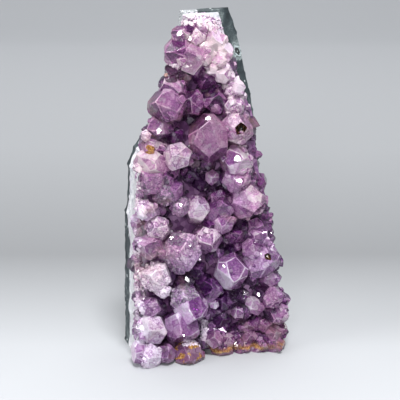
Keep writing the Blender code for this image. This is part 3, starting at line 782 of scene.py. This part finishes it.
def gap_crystals(heap, covered, rng, count):
    """Small crystals deep between the large ones, found by looking in from several sides."""
    for _ in range(count):
        across = rng.uniform(-45.0, 45.0)
        up_by = rng.uniform(-82.0, 92.0)
        side = math.radians(rng.choice((-60.0, -30.0, 0.0, 0.0, 30.0, 60.0, 75.0)))
        lift = math.radians(rng.choice((-25.0, 0.0, 25.0)))
        look = Vector((math.sin(side) * math.cos(lift), -math.cos(side) * math.cos(lift), math.sin(lift)))
        sideways = Vector((math.cos(side), math.sin(side), 0.0))
        start = Vector((2.0, -5.0, 80.0)) + sideways * across + look.cross(sideways) * up_by + look * 120.0
        place, normal, _, _ = covered.ray_cast(start, -look)
        if place is None:
            continue
        behind = place.y - tip_front(place.x, place.z)
        if behind < 2.0 or place.y > bed_front(place.x, place.z) + 3.0:
            continue
        if place.x < LEFT + 1.5:
            continue
        if normal.dot(look) < 0.0:
            normal = -normal
        size = rng.uniform(1.2, 4.0)
        axis = (normal * 0.8 + Vector((0.0, -0.6, 0.0)) + scatter(rng, 0.3)).normalized()
        tip = place + axis * size * rng.uniform(0.2, 1.0)
        # Their tints run deep: partly the violet of the small crystals, partly painted shade deep between the large
        # ones.
        mark = (rng.uniform(0.35, 1.25), 0.0, rng.uniform(0.0, 0.2), 0.0)
        place_crystal(heap, size, size * 4.0, axis, rng.uniform(0.0, 6.28), tip, rng, mark, 0.0, True)


def inside_outline(outline, x, y):
    odd = False
    for (x0, y0), (x1, y1) in zip(outline, outline[1:] + outline[:1]):
        if (y0 > y) != (y1 > y) and x < x0 + (y - y0) / (y1 - y0) * (x1 - x0):
            odd = not odd
    return odd


def patch_crystals(heap, covered, rng):
    """Fine crystals on the patches, standing on whatever surface is seen there."""
    right, up, _, eye = eye_frame()
    for outline, count, sizes, tints, frost in PATCHES:
        for _ in range(count):
            across = rng.uniform(min(x for x, _ in outline), max(x for x, _ in outline))
            up_by = rng.uniform(min(y for _, y in outline), max(y for _, y in outline))
            if not inside_outline(outline, across, up_by):
                continue
            aim = (VIEW_MIDDLE + right * across + up * up_by - eye).normalized()
            place, normal, _, _ = covered.ray_cast(eye, aim)
            if place is None or (place.z < 150.0 and place.y > bed_front(place.x, place.z) + 6.5):
                continue
            if normal.dot(aim) > 0.0:
                normal = -normal
            size = rng.uniform(*sizes)
            axis = (normal + scatter(rng, 0.35)).normalized()
            tip = place + axis * size * rng.uniform(0.2, 0.9)
            bm = crystal_mesh(size, size * 2.4, rng)
            bmesh.ops.transform(bm, matrix=turned_to(axis, rng.uniform(0.0, 6.28), tip), verts=bm.verts)
            if inside_box(bm):
                heap.add(bm, (rng.uniform(*tints), 0.0, frost, 0.0))
            bm.free()


def surface_tree(*objects):
    """The surfaces of some objects, in the wall's frame, for looking at from outside."""
    points = []
    faces = []
    for obj in objects:
        first = len(points)
        points.extend(vertex.co * 1000.0 + MIDDLE for vertex in obj.data.vertices)
        faces.extend([first + index for index in polygon.vertices] for polygon in obj.data.polygons)
    return BVHTree.FromPolygons(points, faces)


def crust_space():
    """The space that the crust's saw cuts leave. Its faces are marked as sawn."""
    bm = bmesh.new()
    bmesh.ops.create_cube(bm, size=400.0)
    for cut in CRUST_CUTS:
        saw(bm, cut)
    marks = bm.faces.layers.float_color.new("mark")
    for face in bm.faces:
        face[marks] = (0.0, 1.0, 0.6, 0.0)
    return bm


def pit_cones(surface):
    right, up, _, eye = eye_frame()
    bm = bmesh.new()
    marks = bm.faces.layers.float_color.new("mark")
    for across, up_by, radius, depth, sides in PITS:
        aim = (VIEW_MIDDLE + right * across + up * up_by - eye).normalized()
        place, _, _, _ = surface.ray_cast(eye, aim)
        turn = (-aim).to_track_quat("Z", "Y").to_matrix().to_4x4()
        bmesh.ops.create_cone(
            bm,
            cap_ends=True,
            segments=sides,
            radius1=radius * 0.35,
            radius2=radius * 1.65,
            depth=2.0 * depth,
            matrix=Matrix.Translation(place) @ turn,
        )
    for face in bm.faces:
        face[marks] = (0.9, 0.0, 0.0, 2.0)
    return bm


def crust(bed, band):
    """The large crystals as one grown-together piece, and the fine ones on it and between."""
    rng = random.Random(FILL_SEED)
    details = random.Random(DETAIL_SEED)
    heap = Heap()
    hosts = large_crystals(heap, rng)
    small_crystals(heap, rng, details)
    crystals = heap.to_object("crystal_crust")
    combine(crystals, "INTERSECT", crust_space(), use_self=True)
    combine(crystals, "DIFFERENCE", pit_cones(heap.tree()))
    fine = Heap()
    extra_crystals(fine, details)
    surfaces = surface_tree(bed, crystals, band)
    gap_crystals(fine, surfaces, details, 1700)
    glint_crystals(fine, surfaces, details)
    growths(fine, hosts, details)
    patch_crystals(fine, surfaces, details)
    return crystals, fine.to_object("fine_crystals")


# ---- materials ----


class Nodes:
    """A material and short ways to add and join its nodes."""

    def __init__(self, name):
        self.material = bpy.data.materials.new(name)
        self.material.use_nodes = True
        self.tree = self.material.node_tree
        self.shader = self.tree.nodes["Principled BSDF"]
        self.output = self.tree.nodes["Material Output"]

    def add(self, kind, values=None, **settings):
        node = self.tree.nodes.new(kind)
        for key, value in settings.items():
            setattr(node, key, value)
        for key, value in (values or {}).items():
            self.put(value, node.inputs[key])
        return node

    def put(self, value, socket):
        if hasattr(value, "is_output"):
            self.tree.links.new(value, socket)
        else:
            socket.default_value = value

    def place(self):
        return self.add("ShaderNodeTexCoord").outputs["Object"]

    def noise(self, scale, detail=4.0, roughness=0.55, distortion=0.0):
        node = self.add(
            "ShaderNodeTexNoise",
            {
                "Vector": self.place(),
                "Scale": scale,
                "Detail": detail,
                "Roughness": roughness,
                "Distortion": distortion,
            },
        )
        return node.outputs["Fac"]

    def math(self, operation, first, second=0.0, third=0.0, clamp=False):
        node = self.add("ShaderNodeMath", operation=operation, use_clamp=clamp)
        self.put(first, node.inputs[0])
        self.put(second, node.inputs[1])
        self.put(third, node.inputs[2])
        return node.outputs[0]

    def ramp(self, fac, stops, smooth=False):
        node = self.add("ShaderNodeValToRGB")
        self.put(fac, node.inputs[0])
        node.color_ramp.interpolation = "EASE" if smooth else "LINEAR"
        for _ in range(len(stops) - 2):
            node.color_ramp.elements.new(0.5)
        for element, (at, colour) in zip(node.color_ramp.elements, stops):
            element.position = at
            if isinstance(colour, float):
                colour = (colour, colour, colour)
            element.color = (*colour, 1.0)
        return node.outputs[0]

    def mix(self, fac, first, second, blend="MIX"):
        node = self.add("ShaderNodeMix", data_type="RGBA", blend_type=blend)
        self.put(fac, node.inputs[0])
        for value, socket in ((first, node.inputs[6]), (second, node.inputs[7])):
            if isinstance(value, tuple):
                value = (*value, 1.0)
            self.put(value, socket)
        return node.outputs[2]

    def bump(self, height, strength, distance, normal=None):
        node = self.add("ShaderNodeBump", {"Height": height, "Strength": strength, "Distance": distance})
        if normal is not None:
            self.put(normal, node.inputs["Normal"])
        return node.outputs["Normal"]

    def blob(self, centre, radius, scale, raggedness):
        """The distance from a place, as a share of a radius, with a ragged edge."""
        away = self.add("ShaderNodeVectorMath", operation="DISTANCE")
        self.put(self.place(), away.inputs[0])
        away.inputs[1].default_value = centre
        ragged = self.math("MULTIPLY_ADD", self.noise(scale, 3.0, 0.6), raggedness, -raggedness / 2.0)
        return self.math("MULTIPLY_ADD", away.outputs["Value"], 1.0 / radius, ragged)

    def set(self, **values):
        names = {
            "colour": "Base Color",
            "roughness": "Roughness",
            "metallic": "Metallic",
            "ior": "IOR",
            "normal": "Normal",
            "transmission": "Transmission Weight",
            "coat": "Coat Weight",
        }
        for key, value in values.items():
            self.put(value, self.shader.inputs[names[key]])


def facets(nodes, scale):
    """A pattern of small facets: a height that tilts each its own way, a value for each,
    and the distance from its edge."""
    scaled = nodes.add("ShaderNodeVectorMath", operation="SCALE")
    nodes.put(nodes.place(), scaled.inputs[0])
    scaled.inputs["Scale"].default_value = scale
    cell = nodes.add("ShaderNodeTexVoronoi", {"Vector": scaled.outputs[0], "Scale": 1.0, "Randomness": 1.0})
    offset = nodes.add("ShaderNodeVectorMath", operation="SUBTRACT")
    nodes.put(scaled.outputs[0], offset.inputs[0])
    nodes.put(cell.outputs["Position"], offset.inputs[1])
    tilt = nodes.add("ShaderNodeVectorMath", operation="SUBTRACT")
    nodes.put(cell.outputs["Color"], tilt.inputs[0])
    tilt.inputs[1].default_value = (0.5, 0.5, 0.5)
    dot = nodes.add("ShaderNodeVectorMath", operation="DOT_PRODUCT")
    nodes.put(offset.outputs[0], dot.inputs[0])
    nodes.put(tilt.outputs[0], dot.inputs[1])
    edge = nodes.add(
        "ShaderNodeTexVoronoi",
        {"Vector": scaled.outputs[0], "Scale": 1.0, "Randomness": 1.0},
        feature="DISTANCE_TO_EDGE",
    )
    value = nodes.add("ShaderNodeSeparateColor", {"Color": cell.outputs["Color"]}).outputs[0]
    return dot.outputs["Value"], value, edge.outputs["Distance"]


def depth_behind_tips(nodes):
    """How far a place is behind the large crystals' tips: 0 there, 1 at 14 mm. The amethyst
    is painted darker with it, as shade in the gaps.
    """
    place = nodes.add("ShaderNodeSeparateXYZ", {"Vector": nodes.place()})
    setback = nodes.math("MULTIPLY_ADD", place.outputs["Z"], 1.0 / 0.065, -105.0 / 65.0, clamp=True)
    front = nodes.math("MULTIPLY_ADD", setback, 0.006, (TIP_PLANE - MIDDLE.y) * 0.001)
    behind = nodes.math("SUBTRACT", place.outputs["Y"], front)
    return nodes.math("MULTIPLY", behind, 1.0 / 0.014, clamp=True)


def rust(nodes, warmth):
    """Where iron has coloured the crystals orange: one chip, a line along the foot, and
    spots on the brown crystal beside it."""
    place = nodes.add("ShaderNodeSeparateXYZ", {"Vector": nodes.place()})
    ragged = nodes.math("MULTIPLY_ADD", nodes.noise(220.0, 4.0, 0.6), 0.005, -0.0025)
    high = nodes.math("ADD", place.outputs["Z"], ragged)
    line = nodes.ramp(nodes.math("MULTIPLY", high, 1.0 / 0.02, clamp=True), RUST_LINE)
    right = nodes.math("MULTIPLY_ADD", place.outputs["X"], 1.0 / 0.002, 1.5, clamp=True)
    broken = nodes.ramp(nodes.noise(130.0, 2.0, 0.5), ((0.38, 0.3), (0.52, 1.0)))
    line = nodes.math("MULTIPLY", line, nodes.math("MULTIPLY", right, broken))
    spots = nodes.ramp(nodes.noise(260.0, 2.0, 0.5), ((0.58, 0.0), (0.62, 1.0)))
    brown = nodes.ramp(warmth, ((0.6, 0.0), (0.7, 1.0)))
    spots = nodes.math("MULTIPLY", spots, brown)
    chip = nodes.math("MULTIPLY", warmth, -1.0, clamp=True)
    low_pit = nodes.math("MULTIPLY_ADD", warmth, -1.0, 2.0, clamp=True)
    found = nodes.math("ADD", nodes.math("MAXIMUM", line, spots), chip, clamp=True)
    return nodes.math("MULTIPLY", found, low_pit)


def amethyst():
    nodes = Nodes("amethyst")
    mark = nodes.add("ShaderNodeAttribute", attribute_name="mark")
    parts = nodes.add("ShaderNodeSeparateColor", {"Color": mark.outputs["Color"]})
    tint, sawn, frost = parts.outputs[0], parts.outputs[1], parts.outputs[2]
    warmth = mark.outputs["Alpha"]

    veil = nodes.noise(170.0, 6.0, 0.62, 1.4)
    cloud = nodes.noise(60.0, 3.0, 0.5, 0.4)
    fine = nodes.noise(900.0, 3.0, 0.6, 0.8)
    streak = nodes.noise(330.0, 2.0, 0.5, 2.2)
    broad_tilt, broad_cell, broad_edge = facets(nodes, 230.0)
    small_tilt, small_cell, small_edge = facets(nodes, 520.0)
    mottled = nodes.math("MULTIPLY_ADD", frost, 1.3, 0.16, clamp=True)
    tone = nodes.math("MULTIPLY_ADD", tint, 1.1, -0.05)
    tone = nodes.math("MULTIPLY_ADD", cloud, 0.5, tone)
    # Painted shade: the colour deepens the further a place lies behind the large crystals' tips, for the shade in the
    # gaps.
    tone = nodes.math("MULTIPLY_ADD", depth_behind_tips(nodes), 0.45, tone)
    tone = nodes.math("MULTIPLY_ADD", veil, 0.6, tone)
    tone = nodes.math("MULTIPLY_ADD", fine, 0.5, tone)
    specks = nodes.math("MULTIPLY", nodes.math("MULTIPLY", frost, frost), nodes.math("MULTIPLY_ADD", fine, 2.6, -1.3))
    tone = nodes.math("ADD", tone, specks)
    tone = nodes.math("MULTIPLY_ADD", broad_cell, 0.3, tone)
    cells = nodes.math("MULTIPLY_ADD", small_cell, 0.5, -0.25)
    tone = nodes.math("MULTIPLY_ADD", cells, mottled, tone)
    # Dark lines along the small cells' edges and along curved noise lines: fine cracks, and also painted shade between
    # the small facets. The seams along the broad cells' edges are painted shade too.
    crack_and_shade = nodes.ramp(small_edge, ((0.0, 0.45), (0.14, 0.0)))
    squiggle = nodes.math("ABSOLUTE", nodes.math("SUBTRACT", nodes.noise(420.0, 3.0, 0.55, 1.2), 0.5))
    squiggle = nodes.ramp(squiggle, ((0.0, 1.1), (0.05, 0.0)))
    squiggle = nodes.math("MULTIPLY", squiggle, nodes.ramp(cloud, ((0.42, 0.15), (0.58, 1.0))))
    crack_and_shade = nodes.math("MAXIMUM", crack_and_shade, squiggle)
    tone = nodes.math("MULTIPLY_ADD", crack_and_shade, mottled, tone)
    seam_shade = nodes.math("MULTIPLY", nodes.ramp(broad_edge, ((0.0, 0.4), (0.08, 0.0))), mottled)
    tone = nodes.math("ADD", tone, seam_shade)
    tone = nodes.math("SUBTRACT", tone, 0.98, clamp=True)
    colour = nodes.ramp(
        tone,
        (
            (0.0, (0.88, 0.75, 0.87)),
            (0.2, (0.66, 0.39, 0.65)),
            (0.42, (0.38, 0.145, 0.38)),
            (0.7, (0.17, 0.028, 0.20)),
            (1.0, (0.045, 0.004, 0.065)),
        ),
    )
    high = nodes.add("ShaderNodeSeparateXYZ", {"Vector": nodes.place()}).outputs["Z"]
    hue = nodes.math("MULTIPLY_ADD", high, 1.2, nodes.noise(30.0, 2.0, 0.5))
    hue = nodes.ramp(hue, ((0.44, (0.95, 0.99, 1.05)), (0.7, (1.08, 1.03, 0.94))))
    colour = nodes.mix(1.0, colour, hue, "MULTIPLY")
    # Painted highlights: thin streaks and a few small cells are mixed towards near white as glints; the streaks also
    # stand for bright internal veils.
    line = nodes.math("ABSOLUTE", nodes.math("SUBTRACT", streak, 0.5))
    line = nodes.ramp(line, ((0.0, 1.0), (0.035, 0.0)))
    painted_glint = nodes.ramp(small_cell, ((0.9, 0.0), (0.94, 1.0)))
    painted_glint = nodes.math("MULTIPLY_ADD", line, 0.8, painted_glint, clamp=True)
    painted_glint = nodes.math("MULTIPLY", painted_glint, nodes.math("MULTIPLY_ADD", frost, 0.25, 0.45))
    painted_glint = nodes.math("MULTIPLY", painted_glint, nodes.math("MULTIPLY_ADD", tone, -0.7, 1.0))
    colour = nodes.mix(painted_glint, colour, (0.92, 0.85, 0.92))
    frosted = nodes.math("MULTIPLY", frost, nodes.ramp(fine, ((0.38, 0.0), (0.62, 1.0))))
    colour = nodes.mix(nodes.math("MULTIPLY", frosted, 0.6), colour, (0.90, 0.84, 0.90))
    cut_face = nodes.mix(nodes.ramp(veil, ((0.35, 0.0), (0.6, 1.0))), (0.88, 0.78, 0.87), (0.62, 0.42, 0.62))
    colour = nodes.mix(nodes.math("MULTIPLY", sawn, 0.75), colour, cut_face)
    blush = nodes.ramp(nodes.noise(48.0, 4.0, 0.6, 0.6), ((0.58, 0.0), (0.68, 0.4)))
    colour = nodes.mix(blush, colour, (0.60, 0.36, 0.36))
    stain = nodes.math("MULTIPLY", warmth, nodes.ramp(veil, ((0.35, 0.25), (0.65, 1.0))), clamp=True)
    colour = nodes.mix(stain, colour, (0.28, 0.13, 0.15))
    ochre = nodes.ramp(fine, ((0.4, (0.36, 0.13, 0.03)), (0.5, (0.62, 0.29, 0.08)), (0.62, (0.90, 0.58, 0.22))))
    colour = nodes.mix(rust(nodes, warmth), colour, ochre)
    # Inside the pits the colour runs from near black through brown and ochre to pale.
    pit = nodes.math("ADD", warmth, -1.0, clamp=True)
    pit_colour = nodes.ramp(
        nodes.noise(900.0, 3.0, 0.6),
        (
            (0.48, (0.010, 0.005, 0.005)),
            (0.56, (0.09, 0.035, 0.02)),
            (0.62, (0.40, 0.17, 0.05)),
            (0.70, (0.7, 0.55, 0.45)),
        ),
    )
    colour = nodes.mix(pit, colour, pit_colour)

    roughness = nodes.math("MULTIPLY_ADD", fine, 0.06, 0.01)
    roughness = nodes.math("MULTIPLY_ADD", frost, 0.2, roughness)
    roughness = nodes.math("MULTIPLY_ADD", sawn, 0.2, roughness)
    clear = nodes.math("MULTIPLY_ADD", frost, -0.35, 0.6)
    clear = nodes.math("MULTIPLY", clear, nodes.ramp(veil, ((0.4, 1.0), (0.68, 0.5))))
    clear = nodes.math("MULTIPLY", clear, nodes.math("MULTIPLY_ADD", sawn, -0.6, 1.0))

    etched = nodes.math("MULTIPLY_ADD", frost, 0.6, 0.07, clamp=True)
    normal = nodes.bump(broad_tilt, etched, 0.0010)
    normal = nodes.bump(small_tilt, etched, 0.0008, normal)
    nodes.set(colour=colour, roughness=roughness, transmission=clear, normal=normal, ior=1.55)
    absorption = nodes.add("ShaderNodeVolumeAbsorption")
    absorption.inputs["Color"].default_value = (0.68, 0.32, 0.67, 1.0)
    absorption.inputs["Density"].default_value = 60.0
    nodes.tree.links.new(absorption.outputs[0], nodes.output.inputs["Volume"])
    return nodes.material


def behind_skin(nodes):
    """How far a place is ahead of the wall's smooth outer skin, in metres."""
    place = nodes.add("ShaderNodeSeparateXYZ", {"Vector": nodes.place()})
    x = nodes.math("ADD", place.outputs["X"], MIDDLE.x * 0.001)
    curve = nodes.math("MULTIPLY", nodes.math("MULTIPLY", x, x), -BACK_CURVE * 1000.0 / RIGHT**2)
    skin_at = nodes.math("MULTIPLY_ADD", place.outputs["Z"], -BACK_LEAN, curve)
    skin_at = nodes.math("ADD", skin_at, (BACK - MIDDLE.y) * 0.001)
    return nodes.math("SUBTRACT", skin_at, place.outputs["Y"])


def sawn_crystal():
    """The roots of the crust where they show in section: white next to the quartz band,
    and lavender in columns further out."""
    nodes = Nodes("sawn_crystal")
    stretched = nodes.add("ShaderNodeMapping", {"Vector": nodes.place(), "Scale": (1.0, 0.3, 1.0)})
    columns = nodes.add(
        "ShaderNodeTexVoronoi", {"Vector": stretched.outputs[0], "Scale": 420.0}, feature="DISTANCE_TO_EDGE"
    ).outputs["Distance"]
    cells = nodes.add("ShaderNodeTexVoronoi", {"Vector": stretched.outputs[0], "Scale": 420.0})
    cell = nodes.add("ShaderNodeSeparateColor", {"Color": cells.outputs["Color"]}).outputs[0]
    cloud = nodes.noise(150.0, 5.0, 0.65, 1.0)
    fine = nodes.noise(1100.0, 3.0, 0.6)
    outward = nodes.math("MULTIPLY_ADD", behind_skin(nodes), 60.0, -1.4)
    place = nodes.add("ShaderNodeSeparateXYZ", {"Vector": nodes.place()})
    leftmost = nodes.math("MULTIPLY_ADD", place.outputs["X"], -1.0 / 0.005, -0.031 / 0.005, clamp=True)
    outward = nodes.math("MULTIPLY_ADD", leftmost, -0.85, outward)
    tone = nodes.math("ADD", outward, nodes.math("MULTIPLY_ADD", cloud, 2.4, -1.2))
    tone = nodes.math("MULTIPLY_ADD", fine, 0.5, tone)
    tone = nodes.math("MULTIPLY_ADD", cell, 0.25, tone)
    tone = nodes.math("SUBTRACT", tone, 0.3, clamp=True)
    colour = nodes.ramp(
        tone,
        ((0.0, (0.90, 0.90, 0.93)), (0.35, (0.76, 0.67, 0.78)), (0.7, (0.50, 0.31, 0.52)), (1.0, (0.22, 0.09, 0.24))),
    )
    colour = nodes.mix(nodes.ramp(columns, ((0.0, 0.4), (0.08, 0.0))), colour, (0.45, 0.35, 0.47))
    grown = nodes.add("ShaderNodeAttribute", attribute_name="mark").outputs["Fac"]
    deep = nodes.ramp(cell, ((0.0, (0.08, 0.02, 0.09)), (0.5, (0.20, 0.07, 0.22)), (1.0, (0.45, 0.24, 0.46))))
    grown = nodes.math("SUBTRACT", grown, leftmost, clamp=True)
    colour = nodes.mix(grown, colour, deep)
    roughness = nodes.math("MULTIPLY_ADD", fine, 0.3, 0.2)
    normal = nodes.bump(nodes.math("MULTIPLY_ADD", cell, 0.5, fine), 0.6, 0.0006)
    nodes.set(colour=colour, roughness=roughness, transmission=0.25, normal=normal, ior=1.55)
    return nodes.material


def quartz():
    nodes = Nodes("milky_quartz")
    cloud = nodes.noise(190.0, 5.0, 0.65, 0.8)
    blush = nodes.noise(70.0, 3.0, 0.5, 0.3)
    fine = nodes.noise(1000.0, 4.0, 0.65)
    tilt, cell, _ = facets(nodes, 520.0)
    colour = nodes.ramp(
        nodes.math("MULTIPLY_ADD", cell, 0.3, nodes.math("ADD", cloud, -0.15)),
        ((0.28, (0.45, 0.48, 0.54)), (0.42, (0.80, 0.80, 0.85)), (0.6, (0.93, 0.93, 0.96))),
    )
    colour = nodes.mix(nodes.ramp(blush, ((0.5, 0.0), (0.66, 0.5))), colour, (0.76, 0.60, 0.76))
    specks = nodes.ramp(fine, ((0.58, 0.0), (0.68, 1.0)))
    colour = nodes.mix(nodes.math("MULTIPLY", specks, 0.5), colour, (0.45, 0.48, 0.52))
    roughness = nodes.math("MULTIPLY_ADD", fine, 0.3, 0.15)
    normal = nodes.bump(tilt, 0.6, 0.0008)
    normal = nodes.bump(fine, 0.4, 0.0004, normal)
    nodes.set(colour=colour, roughness=roughness, transmission=0.1, normal=normal, ior=1.54)
    return nodes.material


def basalt():
    """Dark blue-grey rock with mineral specks and one filled gas bubble. White quartz has
    grown over the thin corner at the top left."""
    nodes = Nodes("basalt")
    cloud = nodes.noise(90.0, 6.0, 0.65, 0.8)
    fine = nodes.noise(1300.0, 5.0, 0.7)
    colour = nodes.ramp(
        nodes.math("MULTIPLY_ADD", fine, 0.5, nodes.math("ADD", cloud, -0.25)),
        (
            (0.3, (0.010, 0.016, 0.020)),
            (0.5, (0.032, 0.046, 0.053)),
            (0.62, (0.075, 0.098, 0.104)),
            (0.74, (0.22, 0.26, 0.26)),
        ),
    )
    spots = nodes.add("ShaderNodeTexVoronoi", {"Vector": nodes.place(), "Scale": 300.0})
    pick = nodes.add("ShaderNodeSeparateColor", {"Color": spots.outputs["Color"]}).outputs[0]
    size = nodes.ramp(pick, ((0.8, 0.0), (1.0, 0.32)))
    inside = nodes.math("LESS_THAN", spots.outputs["Distance"], size)
    colour = nodes.mix(nodes.math("MULTIPLY", inside, 0.85), colour, (0.62, 0.68, 0.68))

    bubble = nodes.blob(BUBBLE_PLACE, BUBBLE_SIZE, 420.0, 1.1)
    rings = ((0.0, 0.62), (0.14, 0.03), (0.42, 0.02), (0.52, 0.72), (0.64, 0.10), (0.8, 0.36), (1.0, 0.05))
    lining = nodes.ramp(bubble, [(at, (0.85 * grey, grey, 1.02 * grey)) for at, grey in rings])
    colour = nodes.mix(nodes.ramp(bubble, ((0.9, 1.0), (1.0, 0.0))), colour, lining)

    place = nodes.add("ShaderNodeSeparateXYZ", {"Vector": nodes.place()})
    leftward = nodes.math("MULTIPLY_ADD", place.outputs["X"], -1.0 / 0.006, 0.35)
    upward = nodes.math("MULTIPLY_ADD", place.outputs["Z"], 1.0 / 0.02, -0.145 / 0.02)
    corner = nodes.math("ADD", leftward, nodes.math("MULTIPLY_ADD", cloud, 1.2, -0.6))
    upward = nodes.math("ADD", upward, nodes.math("MULTIPLY_ADD", nodes.noise(110.0, 4.0, 0.6), 2.4, -1.2))
    corner = nodes.math("MINIMUM", corner, upward)
    white = nodes.ramp(fine, ((0.4, (0.10, 0.12, 0.13)), (0.52, (0.46, 0.48, 0.50)), (0.62, (0.85, 0.87, 0.88))))
    colour = nodes.mix(nodes.ramp(corner, ((0.4, 0.0), (0.55, 1.0))), colour, white)
    roughness = nodes.math("MULTIPLY_ADD", fine, 0.35, 0.42)
    height = nodes.math("MULTIPLY_ADD", inside, -0.3, fine)
    normal = nodes.bump(height, 0.7, 0.0006)
    nodes.set(colour=colour, roughness=roughness, normal=normal, ior=1.5)
    return nodes.material


# ---- pieces ----


def dress(obj, material, node):
    obj.data.materials.clear()
    obj.data.materials.append(material)
    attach(obj, "root")
    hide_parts(node)


def capped(surface, high):
    """The same surface, kept inside the model's box."""
    return lambda x, z: min(surface(x, z), high)


def make_pieces():
    deepest = cad_high[1] * 1000.0 + MIDDLE.y
    rind = to_object("rind_stone", layer(rind_front, capped(rough_skin, deepest), FINE_STEP))
    combine(rind, "INTERSECT", rough_wedge(OUTLINE, (BASE_CUT, TOP_CUT, CORNER_CUT)))
    band = to_object("band_quartz", layer(band_front, rind_front, FINE_STEP))
    combine(band, "INTERSECT", rough_wedge(OUTLINE, (BASE_CUT, BAND_TOP_CUT, CORNER_CUT)))
    growing = layer(bed_front, band_front, FINE_STEP)
    marks = growing.faces.layers.float_color.new("mark")
    for face in growing.faces:
        face[marks] = (1.0, 1.0, 1.0, 1.0)
    bed = to_object("crystal_bed", growing)
    combine(bed, "INTERSECT", rough_wedge(BED_OUTLINE, (BASE_CUT, BED_TOP_CUT, CRUST_CORNER_CUT)))
    crystals, fine = crust(bed, band)
    purple = amethyst()
    dress(rind, basalt(), "basalt_rind")
    dress(band, quartz(), "quartz_band")
    dress(bed, sawn_crystal(), "amethyst_crystals")
    dress(crystals, purple, "amethyst_crystals")
    dress(fine, purple, "amethyst_crystals")


# ---- the studio ----


def sweep():
    """A floor that curves up into a backdrop."""
    bm = bmesh.new()
    profile = [(-3.0, 0.0)]
    radius = 0.6
    for step in range(13):
        angle = step / 12.0 * math.pi / 2.0
        profile.append((1.0 + radius * math.sin(angle), radius - radius * math.cos(angle)))
    profile.append((1.0 + radius, 3.0))
    rows = [[bm.verts.new((x, y, z)) for x in (-3.5, 3.5)] for y, z in profile]
    for lower, upper in zip(rows, rows[1:]):
        bm.faces.new((lower[0], lower[1], upper[1], upper[0])).smooth = True
    mesh = bpy.data.meshes.new("studio_sweep")
    bm.to_mesh(mesh)
    bm.free()
    obj = bpy.data.objects.new("studio_sweep", mesh)
    bpy.context.scene.collection.objects.link(obj)
    obj.rotation_euler = (0.0, 0.0, EYE_TURN)
    nodes = Nodes("studio_paper")
    place = nodes.add("ShaderNodeSeparateXYZ", {"Vector": nodes.place()})
    away = nodes.math("MULTIPLY_ADD", place.outputs["Y"], 1.0 / 1.5, 0.1 / 1.5, clamp=True)
    # The paper is painted lighter and darker with distance, as light and shade on a sweep.
    tint = [((far + 0.1) / 1.5, (0.97 * grey, grey, 1.045 * grey)) for far, grey in PAPER_LIGHT_AND_SHADE]
    colour = nodes.ramp(away, tint)
    nodes.set(colour=colour, roughness=0.9)
    obj.data.materials.append(nodes.material)


def softbox(name, place, size, power):
    """A soft light. Its place is across, away from the camera, and up."""
    light = bpy.data.lights.new(name, "AREA")
    light.shape = "RECTANGLE"
    light.size, light.size_y = size
    light.energy = power
    obj = bpy.data.objects.new(name, light)
    obj.location = Matrix.Rotation(EYE_TURN, 3, "Z") @ Vector(place)
    obj.rotation_euler = (obj.location - Vector((0.0, 0.0, 0.08))).to_track_quat("Z", "Y").to_euler()
    bpy.context.scene.collection.objects.link(obj)


def camera():
    _, _, toward, eye = eye_frame()
    data = bpy.data.cameras.new("camera")
    data.lens = 135.0
    data.sensor_width = 36.0
    data.clip_start = 0.05
    obj = bpy.data.objects.new("camera", data)
    obj.location = (eye - MIDDLE) * 0.001
    obj.rotation_euler = (-toward).to_track_quat("-Z", "Y").to_euler()
    bpy.context.scene.collection.objects.link(obj)
    bpy.context.scene.camera = obj


def studio():
    sweep()
    softbox("key", KEY_PLACE, (0.24, 0.24), 14.5)
    softbox("left", (-1.0, -0.45, 0.6), (0.5, 0.5), 5.0)
    softbox("front", (-0.15, -1.3, 0.55), (0.26, 0.2), 7.5)
    softbox("top", (0.0, 0.1, 1.25), (0.9, 0.9), 7.0)
    softbox("strip", (0.0, 0.75, 1.0), (1.4, 0.12), 3.5)
    world = bpy.data.worlds.new("room")
    world.use_nodes = True
    world.node_tree.nodes["Background"].inputs["Color"].default_value = (0.95, 0.97, 1.0, 1.0)
    world.node_tree.nodes["Background"].inputs["Strength"].default_value = 0.3
    bpy.context.scene.world = world
    bpy.context.scene.view_settings.view_transform = "Standard"


make_pieces()
studio()
camera()
